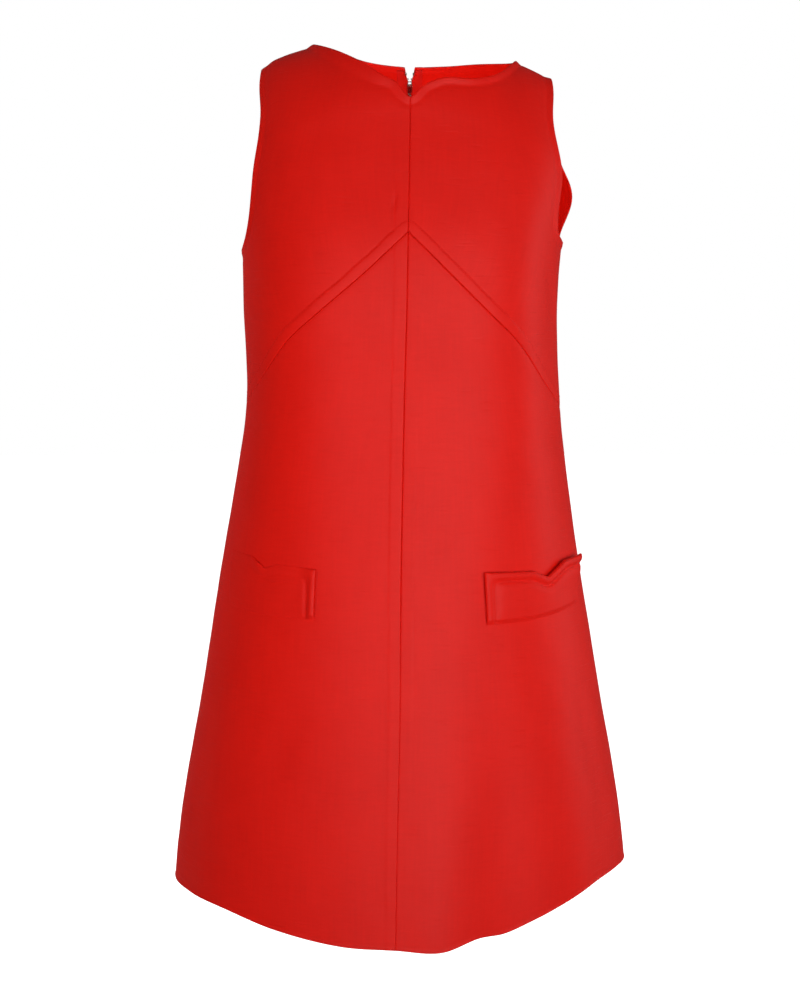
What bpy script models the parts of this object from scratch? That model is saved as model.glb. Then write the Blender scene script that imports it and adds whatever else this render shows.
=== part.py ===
"""A sleeveless A-line mini dress, filled out as if worn, with its back zip.

Metres, +Z up. The front faces -Y and the picture's right is +X. The origin lies between the
shoulders, at the height of the left neck point, where the wearer's shoulders hold the dress.

The body is one smooth surface, given by horizontal sections. Every panel is a stretch of that
surface: its outline is a set of seam and edge lines, and its wall is the surface moved inwards.
"""

import bpy
import bmesh
import math
import numpy as np
from mathutils import Matrix, Vector

# ---------------------------------------------------------------- driving dimensions

CLOTH = 0.0022            # wall of a panel: the crepe with the facing behind its edges
SEAM_GAP = 0.0003         # space between two panels at a seam
FRONT, BACK = -1, +1      # the way each face of the dress looks along Y
LEFT, RIGHT = -1, +1      # the sides as the picture shows them, along X

# Horizontal sections of the body. centre is the middle seam's X, left and right are the sides' X,
# front and back are the depths of the middle seams. Fullness flattens the middle of each curve,
# and below nought it draws the curve in towards the side seams, as stiff flared panels stand.
SECTION_COLUMNS = ("height", "centre", "left", "right", "front", "back", "fullness")
SECTIONS = (
    (+0.020, 0.0100, -0.148, 0.161, 0.078, 0.070, 0.05),
    (-0.060, 0.0097, -0.150, 0.164, 0.086, 0.088, 0.10),
    (-0.130, 0.0087, -0.157, 0.170, 0.104, 0.100, 0.20),
    (-0.195, 0.0075, -0.1555, 0.1590, 0.119, 0.102, 0.30),
    (-0.245, 0.0066, -0.1545, 0.1550, 0.1235, 0.099, 0.34),
    (-0.345, 0.0040, -0.1524, 0.1584, 0.1220, 0.099, 0.30),
    (-0.425, 0.0024, -0.1640, 0.1672, 0.128, 0.109, 0.18),
    (-0.514, 0.0009, -0.1793, 0.1802, 0.137, 0.122, 0.09),
    (-0.628, 0.0000, -0.1985, 0.2001, 0.148, 0.137, 0.00),
    (-0.772, -0.0030, -0.2230, 0.2240, 0.161, 0.154, -0.10),
    (-0.880, -0.0045, -0.2340, 0.2335, 0.170, 0.168, -0.14),
)

# The line over the shoulders, which the cloth rolls across. Between the neck points it is the
# line that the shoulders would follow if there were no neck opening.
SHOULDER_COLUMNS = ("x", "height")
SHOULDER = (
    (-0.1400, -0.0290),
    (-0.1290, -0.0175),
    (-0.1120, -0.0090),
    (-0.0960, -0.0040),
    (-0.0830, 0.0000),
    (-0.0400, 0.0110),
    (0.0100, 0.0140),
    (0.0700, 0.0040),
    (0.1120, -0.0155),
    (0.1320, -0.0245),
    (0.1540, -0.0350),
)
ROLL_FRONT = 0.085        # height over which the front turns from upright to the shoulder seam
ROLL_BACK = 0.075         # the same on the back

# Neck edges, as heights over X. The first and last rows are the neck points.
NECK_FRONT_COLUMNS = ("x", "height")
NECK_FRONT = (
    (-0.0840, -0.0003),
    (-0.0528, -0.0147),
    (-0.0332, -0.0260),
    (-0.0160, -0.0383),
    (-0.0047, -0.0439),
    (0.0097, -0.0585),
    (0.0226, -0.0476),
    (0.0377, -0.0411),
    (0.0706, -0.0402),
    (0.0852, -0.0369),
    (0.0989, -0.0290),
    (0.1120, -0.0155),
)
NECK_BACK_COLUMNS = ("x", "height")
NECK_BACK = (
    (-0.0840, -0.0003),
    (-0.0600, -0.0020),
    (-0.0303, -0.0080),
    (0.0100, -0.0115),
    (0.0450, -0.0115),
    (0.0800, -0.0115),
    (0.1120, -0.0155),
)

# Armhole edges, as angles round the body from the middle seam (0) to the side (90), over the share
# of the way up the armhole from the underarm to the shoulder.
UNDERARM = {LEFT: -0.1975, RIGHT: -0.1905}
COLUMN_BEND = 3           # the higher, the fewer columns beside the armhole bend in with it
ARMHOLE_COLUMNS = ("way", "front_left", "front_right", "back_left", "back_right")
ARMHOLE = (
    (0.00, 90.0, 90.0, 90.0, 90.0),
    (0.14, 78.0, 74.0, 80.0, 82.0),
    (0.35, 68.5, 66.0, 69.0, 75.5),
    (0.60, 64.0, 64.5, 64.0, 72.0),
    (0.82, 63.0, 61.5, 62.0, 68.0),
    (0.95, 66.5, 64.5, 66.0, 65.5),
    (1.00, 66.0, 64.5, 66.0, 64.5),
)
FLARE_BACK = {LEFT: 0.000, RIGHT: 0.011}   # how far the back armhole edge stands out
FLARE_REACH = 0.090                        # how far above the underarm that reaches

# The slanting seams, as heights over the angle round the front.
CHEVRON_COLUMNS = ("angle", "left", "right")
CHEVRON = (
    (0.0, -0.1850, -0.1850),
    (15.0, -0.2245, -0.2225),
    (30.0, -0.2575, -0.2570),
    (45.0, -0.2860, -0.2870),
    (60.0, -0.3190, -0.3220),
    (75.0, -0.3410, -0.3450),
    (90.0, -0.3485, -0.3540),
)

# The hem, as heights over the angle round the dress, from the left side seam to the right one.
HEM_COLUMNS = ("angle", "front", "back")
HEM = (
    (-90.0, -0.8255, -0.8255),
    (-62.0, -0.8262, -0.8290),
    (-47.0, -0.8290, -0.8335),
    (-31.0, -0.8404, -0.8395),
    (-12.0, -0.8495, -0.8440),
    (0.0, -0.8503, -0.8440),
    (10.7, -0.8528, -0.8432),
    (19.7, -0.8441, -0.8415),
    (26.7, -0.8434, -0.8395),
    (36.4, -0.8315, -0.8345),
    (43.0, -0.8224, -0.8295),
    (52.4, -0.8129, -0.8225),
    (67.0, -0.8069, -0.8130),
    (90.0, -0.8078, -0.8078),
)

# The largest soft folds: a ridge (+) or trough (-) that grows from its top down to the hem.
FOLD_COLUMNS = ("face", "angle", "spread", "rise", "top")
FOLDS = (
    (FRONT, -50.0, 12.0, +0.0035, -0.500),
    (FRONT, -20.0, 11.0, -0.0020, -0.560),
    (FRONT, 9.0, 8.0, +0.0030, -0.560),
    (FRONT, 27.0, 9.0, -0.0060, -0.480),
    (FRONT, 48.0, 10.0, +0.0040, -0.520),
    (BACK, -52.0, 11.0, +0.0045, -0.480),
    (BACK, -28.0, 10.0, -0.0055, -0.440),
    (BACK, 12.0, 9.0, +0.0030, -0.560),
    (BACK, 34.0, 11.0, -0.0050, -0.500),
    (BACK, 58.0, 10.0, +0.0035, -0.540),
)
FOLD_RADIUS = 0.19        # radius at which a fold's rise is measured
FOLD_FOOT = -0.845        # height where every fold has its whole rise

# Grid of each panel: spaces across, then down, or above and below the underarm.
BODICE_GRID = (12, 11, 6)
SKIRT_GRID = (12, 14)
BACK_GRID = (12, 11, 16)
BACK_SPANS = (("upper", 0, 13), ("middle", 13, 19), ("lower", 19, 27))   # rows of each solid
EDGE_COLUMNS = 4          # at least so many of them lie between the neck point and the armhole
EDGE_CROWD = 1.3          # powers of the steps beyond the neck point, and down a panel's middle,
MIDDLE_CROWD = 1.5        # its armhole, and the part below the underarm: 1 is even, and more
ARMHOLE_CROWD = 1.15      # crowds the steps towards one end
BELOW_CROWD = 1.25
SHARP_ANGLE = 35.0        # degrees between two faces from which their edge is shaded sharp
INSIDE_DROP = 0.08        # a point so far below any surface point, on the centre line, is inside

# Pocket welts: angles round the front and heights of the stations along the top edge.
WELT_COLUMNS = ("station", "angle_left", "top_left", "angle_right", "top_right")
WELT_TOP = (
    ("inner corner", 25.5, -0.4985, 25.7, -0.5012),
    ("before the notch", 41.0, -0.4958, 44.0, -0.5028),
    ("notch", 46.5, -0.5004, 50.0, -0.5095),
    ("slope top", 53.5, -0.4905, 60.0, -0.4962),
    ("outer tip", 70.0, -0.4880, 73.0, -0.4915),
)
WELT_BOTTOM_COLUMNS = ("side", "inner end", "outer end")
WELT_BOTTOM = (
    (LEFT, -0.5455, -0.5400),
    (RIGHT, -0.5505, -0.5400),
)
WELT_THICKNESS = 0.0034
WELT_TOP_LIFT = 0.0012    # how far the open upper edge stands off the panel
WELT_TIP_LIFT = {LEFT: 0.0030, RIGHT: 0.0085}
WELT_SPACES = (4, 2, 3, 4)  # spaces of each stretch between two stations
WELT_ROWS = 4
WELT_END_SLANT = 6.0      # how much shorter the bottom edge is than the top one, in degrees

# Zip
ZIP_END = -0.500          # lower end of the chain
GAP_TOP = 0.0050          # half the gap between the back panels at the neck edge
GAP_THROAT = 0.0015       # half the gap beside the slider's bridge
THROAT_TOP = -0.0255
THROAT_BOTTOM = -0.0330
GAP_END = -0.0480         # where the back panels meet
TAPE_WALL = 0.0006
TAPE_WIDTH = 0.0130
TAPE_SHARE = 0.065        # a column of the back panels, just outside the tape
TAPE_TOP = 0.0015         # from the neck edge down to the tape's upper end
TAPE_TAIL = 0.012         # length of tape below the chain
TAPE_ROW_CLEAR = 0.0030   # least distance between a panel's row and either end of the tape
TAPE_SHARES = (0.0, 0.22, 0.60, 1.0)   # columns of a tape, from the chain outwards
SLIDER_EASE = (0.020, 0.006)   # the tape gives way to the slider between so far below its middle
CHAIN_WIDTH = 0.0042
CHAIN_WALL = 0.0015
CHAIN_DEPTH = 0.0034      # from the cloth's outer face in to the chain's outer face
CHAIN_STEP = 0.0006       # from the slider's end down to the first of the chain
SLIDER_HEIGHT = -0.0290   # height of the bridge's middle
SLIDER_WIDTH = 0.0050
SLIDER_LENGTH = 0.0080
SLIDER_WALL = 0.0030
SLIDER_CLEAR = 0.0013     # from the cloth's inner face in to the slider
BRIDGE_WIDTH = 0.0013
BRIDGE_BAR = 0.0009
BRIDGE_HOLE = (0.0030, 0.0022)   # along the zip, and out from the cloth
HINGE_OUT = 0.00125       # hinge axis, out from the cloth's outer face
PULL_LENGTH = 0.0225
PULL_WIDTH_TOP = 0.0042
PULL_WIDTH_END = 0.0056
PULL_WALL = 0.0009
PULL_EYE_BAR = 0.0009
PULL_EYE_HOLE = (0.0022, 0.0034)  # across, and along the tab
TOUCH_LENGTH = 0.009      # how far below the hinge the tab lies closest to the cloth

COLOURS = {
    "crepe": ((0.70, 0.012, 0.008), 0.75, 0.0),
    "tape": ((0.42, 0.010, 0.010), 0.80, 0.0),
    "metal": ((0.62, 0.60, 0.56), 0.30, 1.0),
}


# ---------------------------------------------------------------- curves through tables

def table_column(table, columns, name):
    """One named column of a table, as an array."""
    return np.array([row[columns.index(name)] for row in table], dtype=float)


def smooth_curve(knots, values, at):
    """Value at each place of the curve through the points (knots, values).

    Each span is a cubic whose slope at a point is the mean slope of its neighbours. Before the
    first point and after the last one the value stays as it is there.
    """
    slopes = np.gradient(values, knots)
    at = np.asarray(at, dtype=float)
    span = np.clip(np.searchsorted(knots, at) - 1, 0, len(knots) - 2)
    width = knots[span + 1] - knots[span]
    t = np.clip((at - knots[span]) / width, 0.0, 1.0)
    start = (1 + 2 * t) * (1 - t) ** 2 * values[span] + t * (1 - t) ** 2 * width * slopes[span]
    end = t * t * (3 - 2 * t) * values[span + 1] - t * t * (1 - t) * width * slopes[span + 1]
    return start + end


def read(table, columns, key, name, at):
    """Smooth value of column name where column key has the value at."""
    knots = table_column(table, columns, key)
    values = table_column(table, columns, name)
    order = np.argsort(knots)
    return smooth_curve(knots[order], values[order], at)


def section(name, z):
    """Smooth value of a section's column at height z."""
    return read(SECTIONS, SECTION_COLUMNS, "height", name, z)


def ease(t):
    """0 below 0, 1 above 1, and a smooth step between."""
    t = np.clip(t, 0.0, 1.0)
    return t * t * (3 - 2 * t)


def side_name(side):
    return "left" if side == LEFT else "right"


def face_name(face):
    return "front" if face == FRONT else "back"


# ---------------------------------------------------------------- the body's surface

def side_x(side, face, z):
    """X of the body's side at height z, with the back armhole's flare."""
    x = section("left" if side == LEFT else "right", z)
    if face == BACK:
        rise = np.clip((z - UNDERARM[side]) / FLARE_REACH, 0.0, 1.0)
        x = x + side * FLARE_BACK[side] * np.sin(math.pi * rise) ** 2
    return x


def fold_rise(face, angle, z):
    """Sum of the folds at a signed angle and height: bell-shaped across, growing down to the hem."""
    total = np.zeros(np.broadcast(angle, z).shape)
    for fold_face, middle, spread, rise, top in FOLDS:
        if fold_face == face:
            growth = ease((top - z) / (top - FOLD_FOOT))
            total = total + rise * growth * np.exp(-(((angle - middle) / spread) ** 2))
    return total


def body_point(side, face, degrees, z):
    """Points of the body's outer surface, for arrays of angles from the middle seam and heights.

    Across: x goes from the middle seam to the side as the sine of the angle, and the depth falls
    as its cosine, fattened by (1 + fullness * sine squared). Near the shoulder line the depth
    shrinks to nothing along a quarter of a circle, so that the cloth rolls over the shoulder.
    """
    angle = np.radians(degrees)
    centre = section("centre", z)
    reach = side_x(side, face, z) - centre
    swell = 1 + fold_rise(face, side * degrees, z) / FOLD_RADIUS
    x = centre + reach * np.sin(angle) * swell
    below = read(SHOULDER, SHOULDER_COLUMNS, "x", "height", x) - z
    roll_height = ROLL_FRONT if face == FRONT else ROLL_BACK
    roll = np.sqrt(np.clip(1 - (1 - np.clip(below / roll_height, 0, 1)) ** 2, 0, 1))
    depth = section(face_name(face), z)
    fuller = 1 + section("fullness", z) * np.sin(angle) ** 2
    y = face * depth * np.cos(angle) * fuller * roll * swell
    return np.stack([x, y, z + 0 * x], axis=-1)


def armhole_angle(side, face, z):
    """Angle of a panel's outer edge at height z: the side seam at 90, or the armhole above it.

    The way along the armhole grows as the arc cosine of the rise, so that its foot is round.
    """
    rise = np.clip((z - UNDERARM[side]) / (SHOULDER_END[side] - UNDERARM[side]), 0.0, 1.0)
    way = np.arccos(1 - rise) * 2 / math.pi
    return read(ARMHOLE, ARMHOLE_COLUMNS, "way", f"{face_name(face)}_{side_name(side)}", way)


def column_angles(across, edge):
    """Angles of the columns a share of the way across, of which the last lies at the edge's angle."""
    return 90.0 * across - (90.0 - edge) * across ** COLUMN_BEND


def top_height(side, face, across):
    """Height of the panel's top edge: the neck edge, then the shoulder line.

    The height depends on X and X on the height, so it is worked out by repeating a few times.
    """
    columns = NECK_FRONT_COLUMNS if face == FRONT else NECK_BACK_COLUMNS
    table = NECK_FRONT if face == FRONT else NECK_BACK
    neck_point = table[0][0] if side == LEFT else table[-1][0]
    shoulder_end = table_column(ARMHOLE, ARMHOLE_COLUMNS, f"{face_name(face)}_{side_name(side)}")[-1]
    degrees = column_angles(across, shoulder_end)
    z = np.full(np.shape(across), -0.02)
    for _ in range(30):
        x = body_point(side, face, degrees, z)[..., 0]
        neck = read(table, columns, "x", "height", x)
        shoulder = read(SHOULDER, SHOULDER_COLUMNS, "x", "height", x)
        z = np.where(side * x < side * neck_point, neck, shoulder)
    return z


def neck_share(side, face):
    """Share of the way across a panel at which its top edge meets the neck point."""
    shares = np.linspace(0.3, 0.95, 1301)
    table = NECK_FRONT if face == FRONT else NECK_BACK
    neck_point = table[0][0] if side == LEFT else table[-1][0]
    shoulder_end = table_column(ARMHOLE, ARMHOLE_COLUMNS, f"{face_name(face)}_{side_name(side)}")[-1]
    degrees = column_angles(shares, shoulder_end)
    x = body_point(side, face, degrees, top_height(side, face, shares))[:, 0]
    return float(shares[np.argmin(np.abs(x - neck_point))])


# ---------------------------------------------------------------- panels

def shares_across(side, face, count):
    """Evenly spread shares of the way across, with one on the neck point and, on the back, one
    beside the zip tape."""
    corner = neck_share(side, face)
    before = min(round(count * corner), count - EDGE_COLUMNS)
    first = TAPE_SHARE if face == BACK else corner / before
    beyond = 1 - (1 - np.arange(1, count - before + 1) / (count - before)) ** EDGE_CROWD
    return np.concatenate([[0.0], np.linspace(first, corner, before),
                           corner + (1 - corner) * beyond])


def hem_height(side, face, across):
    """Height of the hem a share of the way across a panel."""
    return read(HEM, HEM_COLUMNS, "angle", face_name(face), side * across * 90.0)


def chevron_height(side, across):
    """Height of the slanting seam a share of the way across the front."""
    return read(CHEVRON, CHEVRON_COLUMNS, "angle", side_name(side), across * 90.0)


def shares_down(above_count, below_count, across, top, bottom, underarm):
    """Shares of the way down each column of a panel that reaches the shoulder.

    One row lies level at the underarm, or as low as the panel lets it. Above it the rows of the
    middle start close together, for the roll at the shoulder, and those at the edge go round the
    armhole in even steps. Below it they spread out towards the bottom.
    """
    down = np.linspace(0, 1, above_count + 1)[:, None]
    middle = down ** MIDDLE_CROWD
    edge = np.cos(math.pi / 2 * (1 - down ** ARMHOLE_CROWD))
    above = middle + (edge - middle) * across ** 2
    below = np.linspace(0, 1, below_count + 1)[1:, None] ** BELOW_CROWD
    level = np.clip((underarm - top) / (bottom - top), 0, 0.8)
    return np.concatenate([level * above, level + (1 - level) * below])


def upper_grid(side, face, grid, bottom):
    """Angles and heights of a panel that reaches the shoulder, row by row from its top edge."""
    across = shares_across(side, face, grid[0])[None, :]
    top = top_height(side, face, across)
    low = bottom(across)
    z = top + (low - top) * shares_down(grid[1], grid[2], across, top, low, UNDERARM[side])
    return column_angles(across, armhole_angle(side, face, z[:, -1:])), z


def skirt_grid(side, grid):
    """Angles and heights of a front skirt panel, from the slanting seam down to the hem."""
    across = shares_across(side, FRONT, grid[0])[None, :]
    down = np.linspace(0, 1, grid[1] + 1)[:, None]
    z = chevron_height(side, across) * (1 - down) + hem_height(side, FRONT, across) * down
    return 90.0 * across + 0 * z, z


def surface_normals(side, face, degrees, z):
    """Outward unit normals of the surface, from small steps round and down it."""
    step_round, step_down = 0.01, 1e-5
    here = body_point(side, face, degrees, z)
    beside = body_point(side, face, degrees + np.where(degrees > 45, -step_round, step_round), z) - here
    under = body_point(side, face, degrees, z - step_down) - here
    normal = np.cross(beside, under)
    normal /= np.linalg.norm(normal, axis=-1, keepdims=True)
    inside = np.stack([section("centre", z), 0 * z, z - INSIDE_DROP], axis=-1)
    return normal * np.sign(np.sum(normal * (here - inside), axis=-1, keepdims=True))


def closed_shell(name, outer, inner, material):
    """A solid between two grids of points, closed all round its rim."""
    rows, columns = outer.shape[:2]
    count = rows * columns
    index = np.arange(count).reshape(rows, columns)

    def quads(grid):
        return np.stack([grid[:-1, :-1], grid[1:, :-1], grid[1:, 1:], grid[:-1, 1:]], -1).reshape(-1, 4)

    rim = np.concatenate([index[0, :-1], index[:-1, -1], index[-1, :0:-1], index[:0:-1, 0]])
    following = np.roll(rim, -1)
    sides = np.stack([rim, following, following + count, rim + count], -1)
    faces = np.concatenate([quads(index), quads(index)[:, ::-1] + count, sides])
    mesh = bpy.data.meshes.new(name)
    points = np.concatenate([outer.reshape(-1, 3), inner.reshape(-1, 3)])
    mesh.from_pydata(points.tolist(), [], faces.tolist())
    return add_object(name, mesh, material)


def add_object(name, mesh, material):
    """Link a mesh as a named piece with its faces outwards, smooth but for its sharp edges."""
    work = bmesh.new()
    work.from_mesh(mesh)
    bmesh.ops.recalc_face_normals(work, faces=work.faces)
    work.to_mesh(mesh)
    work.free()
    mesh.shade_smooth()
    mesh.set_sharp_from_angle(angle=math.radians(SHARP_ANGLE))
    mesh.materials.clear()
    mesh.materials.append(materials[material])
    piece = bpy.data.objects.new(name, mesh)
    dress.objects.link(piece)
    return piece


def panel(name, side, face, grid, lift):
    """A cloth panel: its grid of surface points, moved half a seam gap off each neighbour."""
    outer = body_point(side, face, *grid)
    inner = outer - surface_normals(side, face, *grid) * CLOTH
    apart = np.array([side * SEAM_GAP / 2, face * SEAM_GAP / 2, lift])
    return closed_shell(name, outer + apart, inner + apart, "crepe")


# ---------------------------------------------------------------- zip opening

def gap_half_width(z):
    """Half the gap between the back panels: a V at the neck, a throat for the slider, then none."""
    neck = float(top_height(RIGHT, BACK, np.array(0.0)))
    heights = np.array([GAP_END, THROAT_BOTTOM, THROAT_TOP, neck])
    widths = np.array([0.0, GAP_THROAT, GAP_THROAT, GAP_TOP])
    return np.interp(z, heights, widths)


def degrees_beside_middle(side, z, distance):
    """Angle round the back that lies a distance from its middle seam."""
    return np.degrees(distance / np.abs(side_x(side, BACK, z) - section("centre", z)))


def back_panel(side):
    """A back half: its middle edge is drawn aside by the gap above the zip.

    It is one piece of cloth from the neck to the hem. Its wall bends round a long hollow, so it is
    modelled as three simpler solids, one above the other with a seam's gap between them.
    """
    degrees, z = upper_grid(side, BACK, BACK_GRID, lambda share: hem_height(side, BACK, share))
    degrees[:, 0] = degrees_beside_middle(side, z[:, 0], gap_half_width(z[:, 0]))
    for number, (level, first, last) in enumerate(BACK_SPANS):
        rows = slice(first, last + 1)
        lift = (1 - number) * SEAM_GAP
        panel(f"back_{level}_{side_name(side)}", side, BACK, (degrees[rows], z[rows]), lift)


def middle_back(offset_x, z, depth):
    """Points beside the centre-back line, a distance from it, moved in from the cloth's face."""
    points = []
    for side in (LEFT, RIGHT):
        degrees = degrees_beside_middle(side, z, np.abs(offset_x))
        cloth = body_point(side, BACK, degrees, z)
        points.append(cloth - surface_normals(side, BACK, degrees, z) * depth[..., None])
    chosen = np.where((offset_x < 0)[..., None], points[0], points[1])
    return chosen + np.array([0, SEAM_GAP / 2, 0])


def zip_rows(bottom):
    """Heights of the back panels' rows at the middle seam, from just under the neck edge down."""
    z = upper_grid(RIGHT, BACK, BACK_GRID, lambda share: hem_height(RIGHT, BACK, share))[1][:, 0]
    top = z[0] - TAPE_TOP
    between = (z < top - TAPE_ROW_CLEAR / 3) & (z > bottom + TAPE_ROW_CLEAR)
    return np.concatenate([[top], z[between], [bottom]])


def zip_tape(side):
    """A zip tape inside the back: flat on the cloth, and stepping in to the chain at its edge."""
    z = zip_rows(ZIP_END - TAPE_TAIL)[:, None]
    edge = CHAIN_WIDTH / 2 + SEAM_GAP
    far, near = SLIDER_EASE
    beside_slider = np.interp(z, [SLIDER_HEIGHT - far, SLIDER_HEIGHT - near],
                              [0.0, SLIDER_WIDTH / 2 + SEAM_GAP - edge])
    inner_edge = edge + beside_slider + np.maximum(0, gap_half_width(z) - GAP_THROAT)
    share = np.array(TAPE_SHARES)[None, :]
    x = side * (inner_edge + share * (TAPE_WIDTH - inner_edge * share))
    on_cloth = CLOTH + SEAM_GAP
    at_chain = CHAIN_DEPTH + (CHAIN_WALL - TAPE_WALL) / 2
    depth = np.where(share == 0, at_chain, on_cloth) + 0 * x
    outer = middle_back(x, z + 0 * x, depth)
    inner = middle_back(x, z + 0 * x, depth + TAPE_WALL)
    return closed_shell(f"zip_tape_{side_name(side)}", outer, inner, "tape")


def zip_chain():
    """The closed teeth, as one plain strip from the slider down to the zip's end."""
    top = SLIDER_HEIGHT - SLIDER_LENGTH / 2 - CHAIN_STEP
    rows = zip_rows(ZIP_END)
    z = np.concatenate([[top], rows[rows < top - CHAIN_STEP]])[:, None]
    x = np.array([-CHAIN_WIDTH / 2, CHAIN_WIDTH / 2])[None, :] + 0 * z
    depth = np.full(x.shape, CHAIN_DEPTH)
    outer = middle_back(x, z + 0 * x, depth)
    inner = middle_back(x, z + 0 * x, depth + CHAIN_WALL)
    return closed_shell("zip_chain", outer, inner, "metal")


def zip_frame():
    """Where the slider sits: the hinge axis, and the way down the cloth where the tab lies on it."""
    def cloth(z):
        return middle_back(np.array([1e-6]), np.array([z]), np.array([0.0]))[0]
    at_hinge = cloth(SLIDER_HEIGHT)
    touch = SLIDER_HEIGHT - TOUCH_LENGTH
    down = Vector(cloth(touch - 1e-4) - cloth(touch)).normalized()
    out = Vector((0, -down.z, down.y))
    frame = Matrix.Identity(4)
    for axis, vector in enumerate((Vector((1, 0, 0)), out, -down)):
        frame.col[axis][:3] = vector
    frame.translation = Vector(at_hinge) + out * HINGE_OUT
    frame.translation.x = float(section("centre", np.array(SLIDER_HEIGHT)))
    return frame


# ---------------------------------------------------------------- pocket welts

def pocket_welt(side):
    """A welt on the front skirt: panel points moved out, with a notch and a raised outer tip."""
    name = side_name(side)
    angles = table_column(WELT_TOP, WELT_COLUMNS, f"angle_{name}")
    tops = table_column(WELT_TOP, WELT_COLUMNS, f"top_{name}")
    stations = np.concatenate([station + np.arange(count) / count
                               for station, count in enumerate(WELT_SPACES)] + [[len(WELT_SPACES)]])
    angle = np.interp(stations, range(len(angles)), angles)[None, :]
    top = np.interp(stations, range(len(tops)), tops)[None, :]
    along = (angle - angle[0, 0]) / (angle[0, -1] - angle[0, 0])
    inner_end, outer_end = [row[1:] for row in WELT_BOTTOM if row[0] == side][0]
    bottom = inner_end + (outer_end - inner_end) * along ** 2
    up = np.linspace(0, 1, WELT_ROWS + 1)[:, None]
    z = bottom + (top - bottom) * up
    degrees = angle - WELT_END_SLANT * along * (1 - up)
    lift = WELT_TOP_LIFT * ease(up) + WELT_TIP_LIFT[side] * ease(up) * ease((along - 0.45) / 0.55)
    cloth = body_point(side, FRONT, degrees, z)
    normal = surface_normals(side, FRONT, degrees, z)
    apart = np.array([side * SEAM_GAP / 2, -SEAM_GAP / 2, 0])
    back_face = cloth + normal * (SEAM_GAP + lift)[..., None] + apart
    front_face = back_face + normal * WELT_THICKNESS
    return closed_shell(f"pocket_welt_{name}", front_face, back_face, "crepe")


# ---------------------------------------------------------------- slider and pull tab

def box_mesh(name, size, middle):
    """A box of the given size about its middle."""
    work = bmesh.new()
    bmesh.ops.create_cube(work, size=1.0)
    bmesh.ops.scale(work, vec=size, verts=work.verts)
    bmesh.ops.translate(work, vec=middle, verts=work.verts)
    mesh = bpy.data.meshes.new(name)
    work.to_mesh(mesh)
    work.free()
    return mesh


def cutter(name, size, middle):
    """A box that is only used to cut or join, kept out of the model."""
    piece = bpy.data.objects.new(name, box_mesh(name, size, middle))
    piece.hide_render = True
    piece.display_type = "WIRE"
    cutters.objects.link(piece)
    return piece


def joined(piece, other, operation):
    """Add a Boolean of two pieces that share one frame."""
    other.parent = piece.parent
    change = piece.modifiers.new(other.name, "BOOLEAN")
    change.operation = operation
    change.object = other
    change.solver = "EXACT"


def zip_slider(head):
    """The slider: a body behind the cloth and a bridge through the gap, with the tab's hole."""
    body_middle = -HINGE_OUT - CLOTH - SLIDER_CLEAR - SLIDER_WALL / 2
    slider = add_object("zip_slider", box_mesh(
        "zip_slider", (SLIDER_WIDTH, SLIDER_WALL, SLIDER_LENGTH), (0, body_middle, 0)), "metal")
    slider.parent = head
    hole_long, hole_out = BRIDGE_HOLE
    bridge_out = hole_out / 2 + BRIDGE_BAR
    bridge_in = body_middle
    bridge = cutter("slider_bridge", (BRIDGE_WIDTH, bridge_out - bridge_in, hole_long + 2 * BRIDGE_BAR),
                    (0, (bridge_out + bridge_in) / 2, 0))
    hole = cutter("slider_hole", (2 * SLIDER_WIDTH, hole_out, hole_long), (0, 0, 0))
    joined(slider, bridge, "UNION")
    joined(slider, hole, "DIFFERENCE")
    return slider


def zip_pull(head):
    """The pull tab: a slim plate that widens to a round end, with an eye round the bridge."""
    outline = bpy.data.curves.new("zip_pull", "CURVE")
    outline.dimensions = "2D"
    outline.fill_mode = "BOTH"
    outline.extrude = PULL_WALL / 2
    top = PULL_EYE_BAR / 2
    end_radius = PULL_WIDTH_END / 2
    bottom = top - PULL_LENGTH
    turn = np.radians(np.linspace(0, 180, 13))
    arc = np.stack([end_radius * np.cos(turn), bottom + end_radius - end_radius * np.sin(turn)], -1)
    points = [(PULL_WIDTH_TOP / 2, top)] + [tuple(point) for point in arc] + [(-PULL_WIDTH_TOP / 2, top)]
    hole_wide, hole_long = PULL_EYE_HOLE
    hole_top = -PULL_EYE_BAR / 2
    eye = [(hole_wide / 2, hole_top), (hole_wide / 2, hole_top - hole_long),
           (-hole_wide / 2, hole_top - hole_long), (-hole_wide / 2, hole_top)]
    for loop in (points, eye):
        spline = outline.splines.new("POLY")
        spline.points.add(len(loop) - 1)
        for point, (x, y) in zip(spline.points, loop):
            point.co = (x, y, 0, 1)
        spline.use_cyclic_u = True
    curve = bpy.data.objects.new("pull_outline", outline)
    cutters.objects.link(curve)
    bpy.context.view_layer.update()
    mesh = bpy.data.meshes.new_from_object(curve.evaluated_get(bpy.context.evaluated_depsgraph_get()))
    bpy.data.objects.remove(curve)
    mesh.transform(Matrix.Rotation(math.radians(90), 4, "X"))
    work = bmesh.new()
    work.from_mesh(mesh)
    bmesh.ops.remove_doubles(work, verts=work.verts, dist=1e-6)
    work.to_mesh(mesh)
    work.free()
    pull = add_object("zip_pull", mesh, "metal")
    pull.parent = head
    return pull


# ---------------------------------------------------------------- build

SHOULDER_END = {side: float(top_height(side, FRONT, np.array(1.0))) for side in (LEFT, RIGHT)}

for old in list(bpy.data.objects):
    bpy.data.objects.remove(old)

dress = bpy.data.collections.new("a_line_dress")
cutters = bpy.data.collections.new("cutters")
for collection in (dress, cutters):
    bpy.context.scene.collection.children.link(collection)

materials = {}
for material_name, (colour, roughness, metallic) in COLOURS.items():
    made = bpy.data.materials.new(material_name)
    made.use_nodes = True
    shader = made.node_tree.nodes["Principled BSDF"]
    shader.inputs["Base Color"].default_value = (*colour, 1)
    shader.inputs["Roughness"].default_value = roughness
    shader.inputs["Metallic"].default_value = metallic
    materials[material_name] = made

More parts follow.
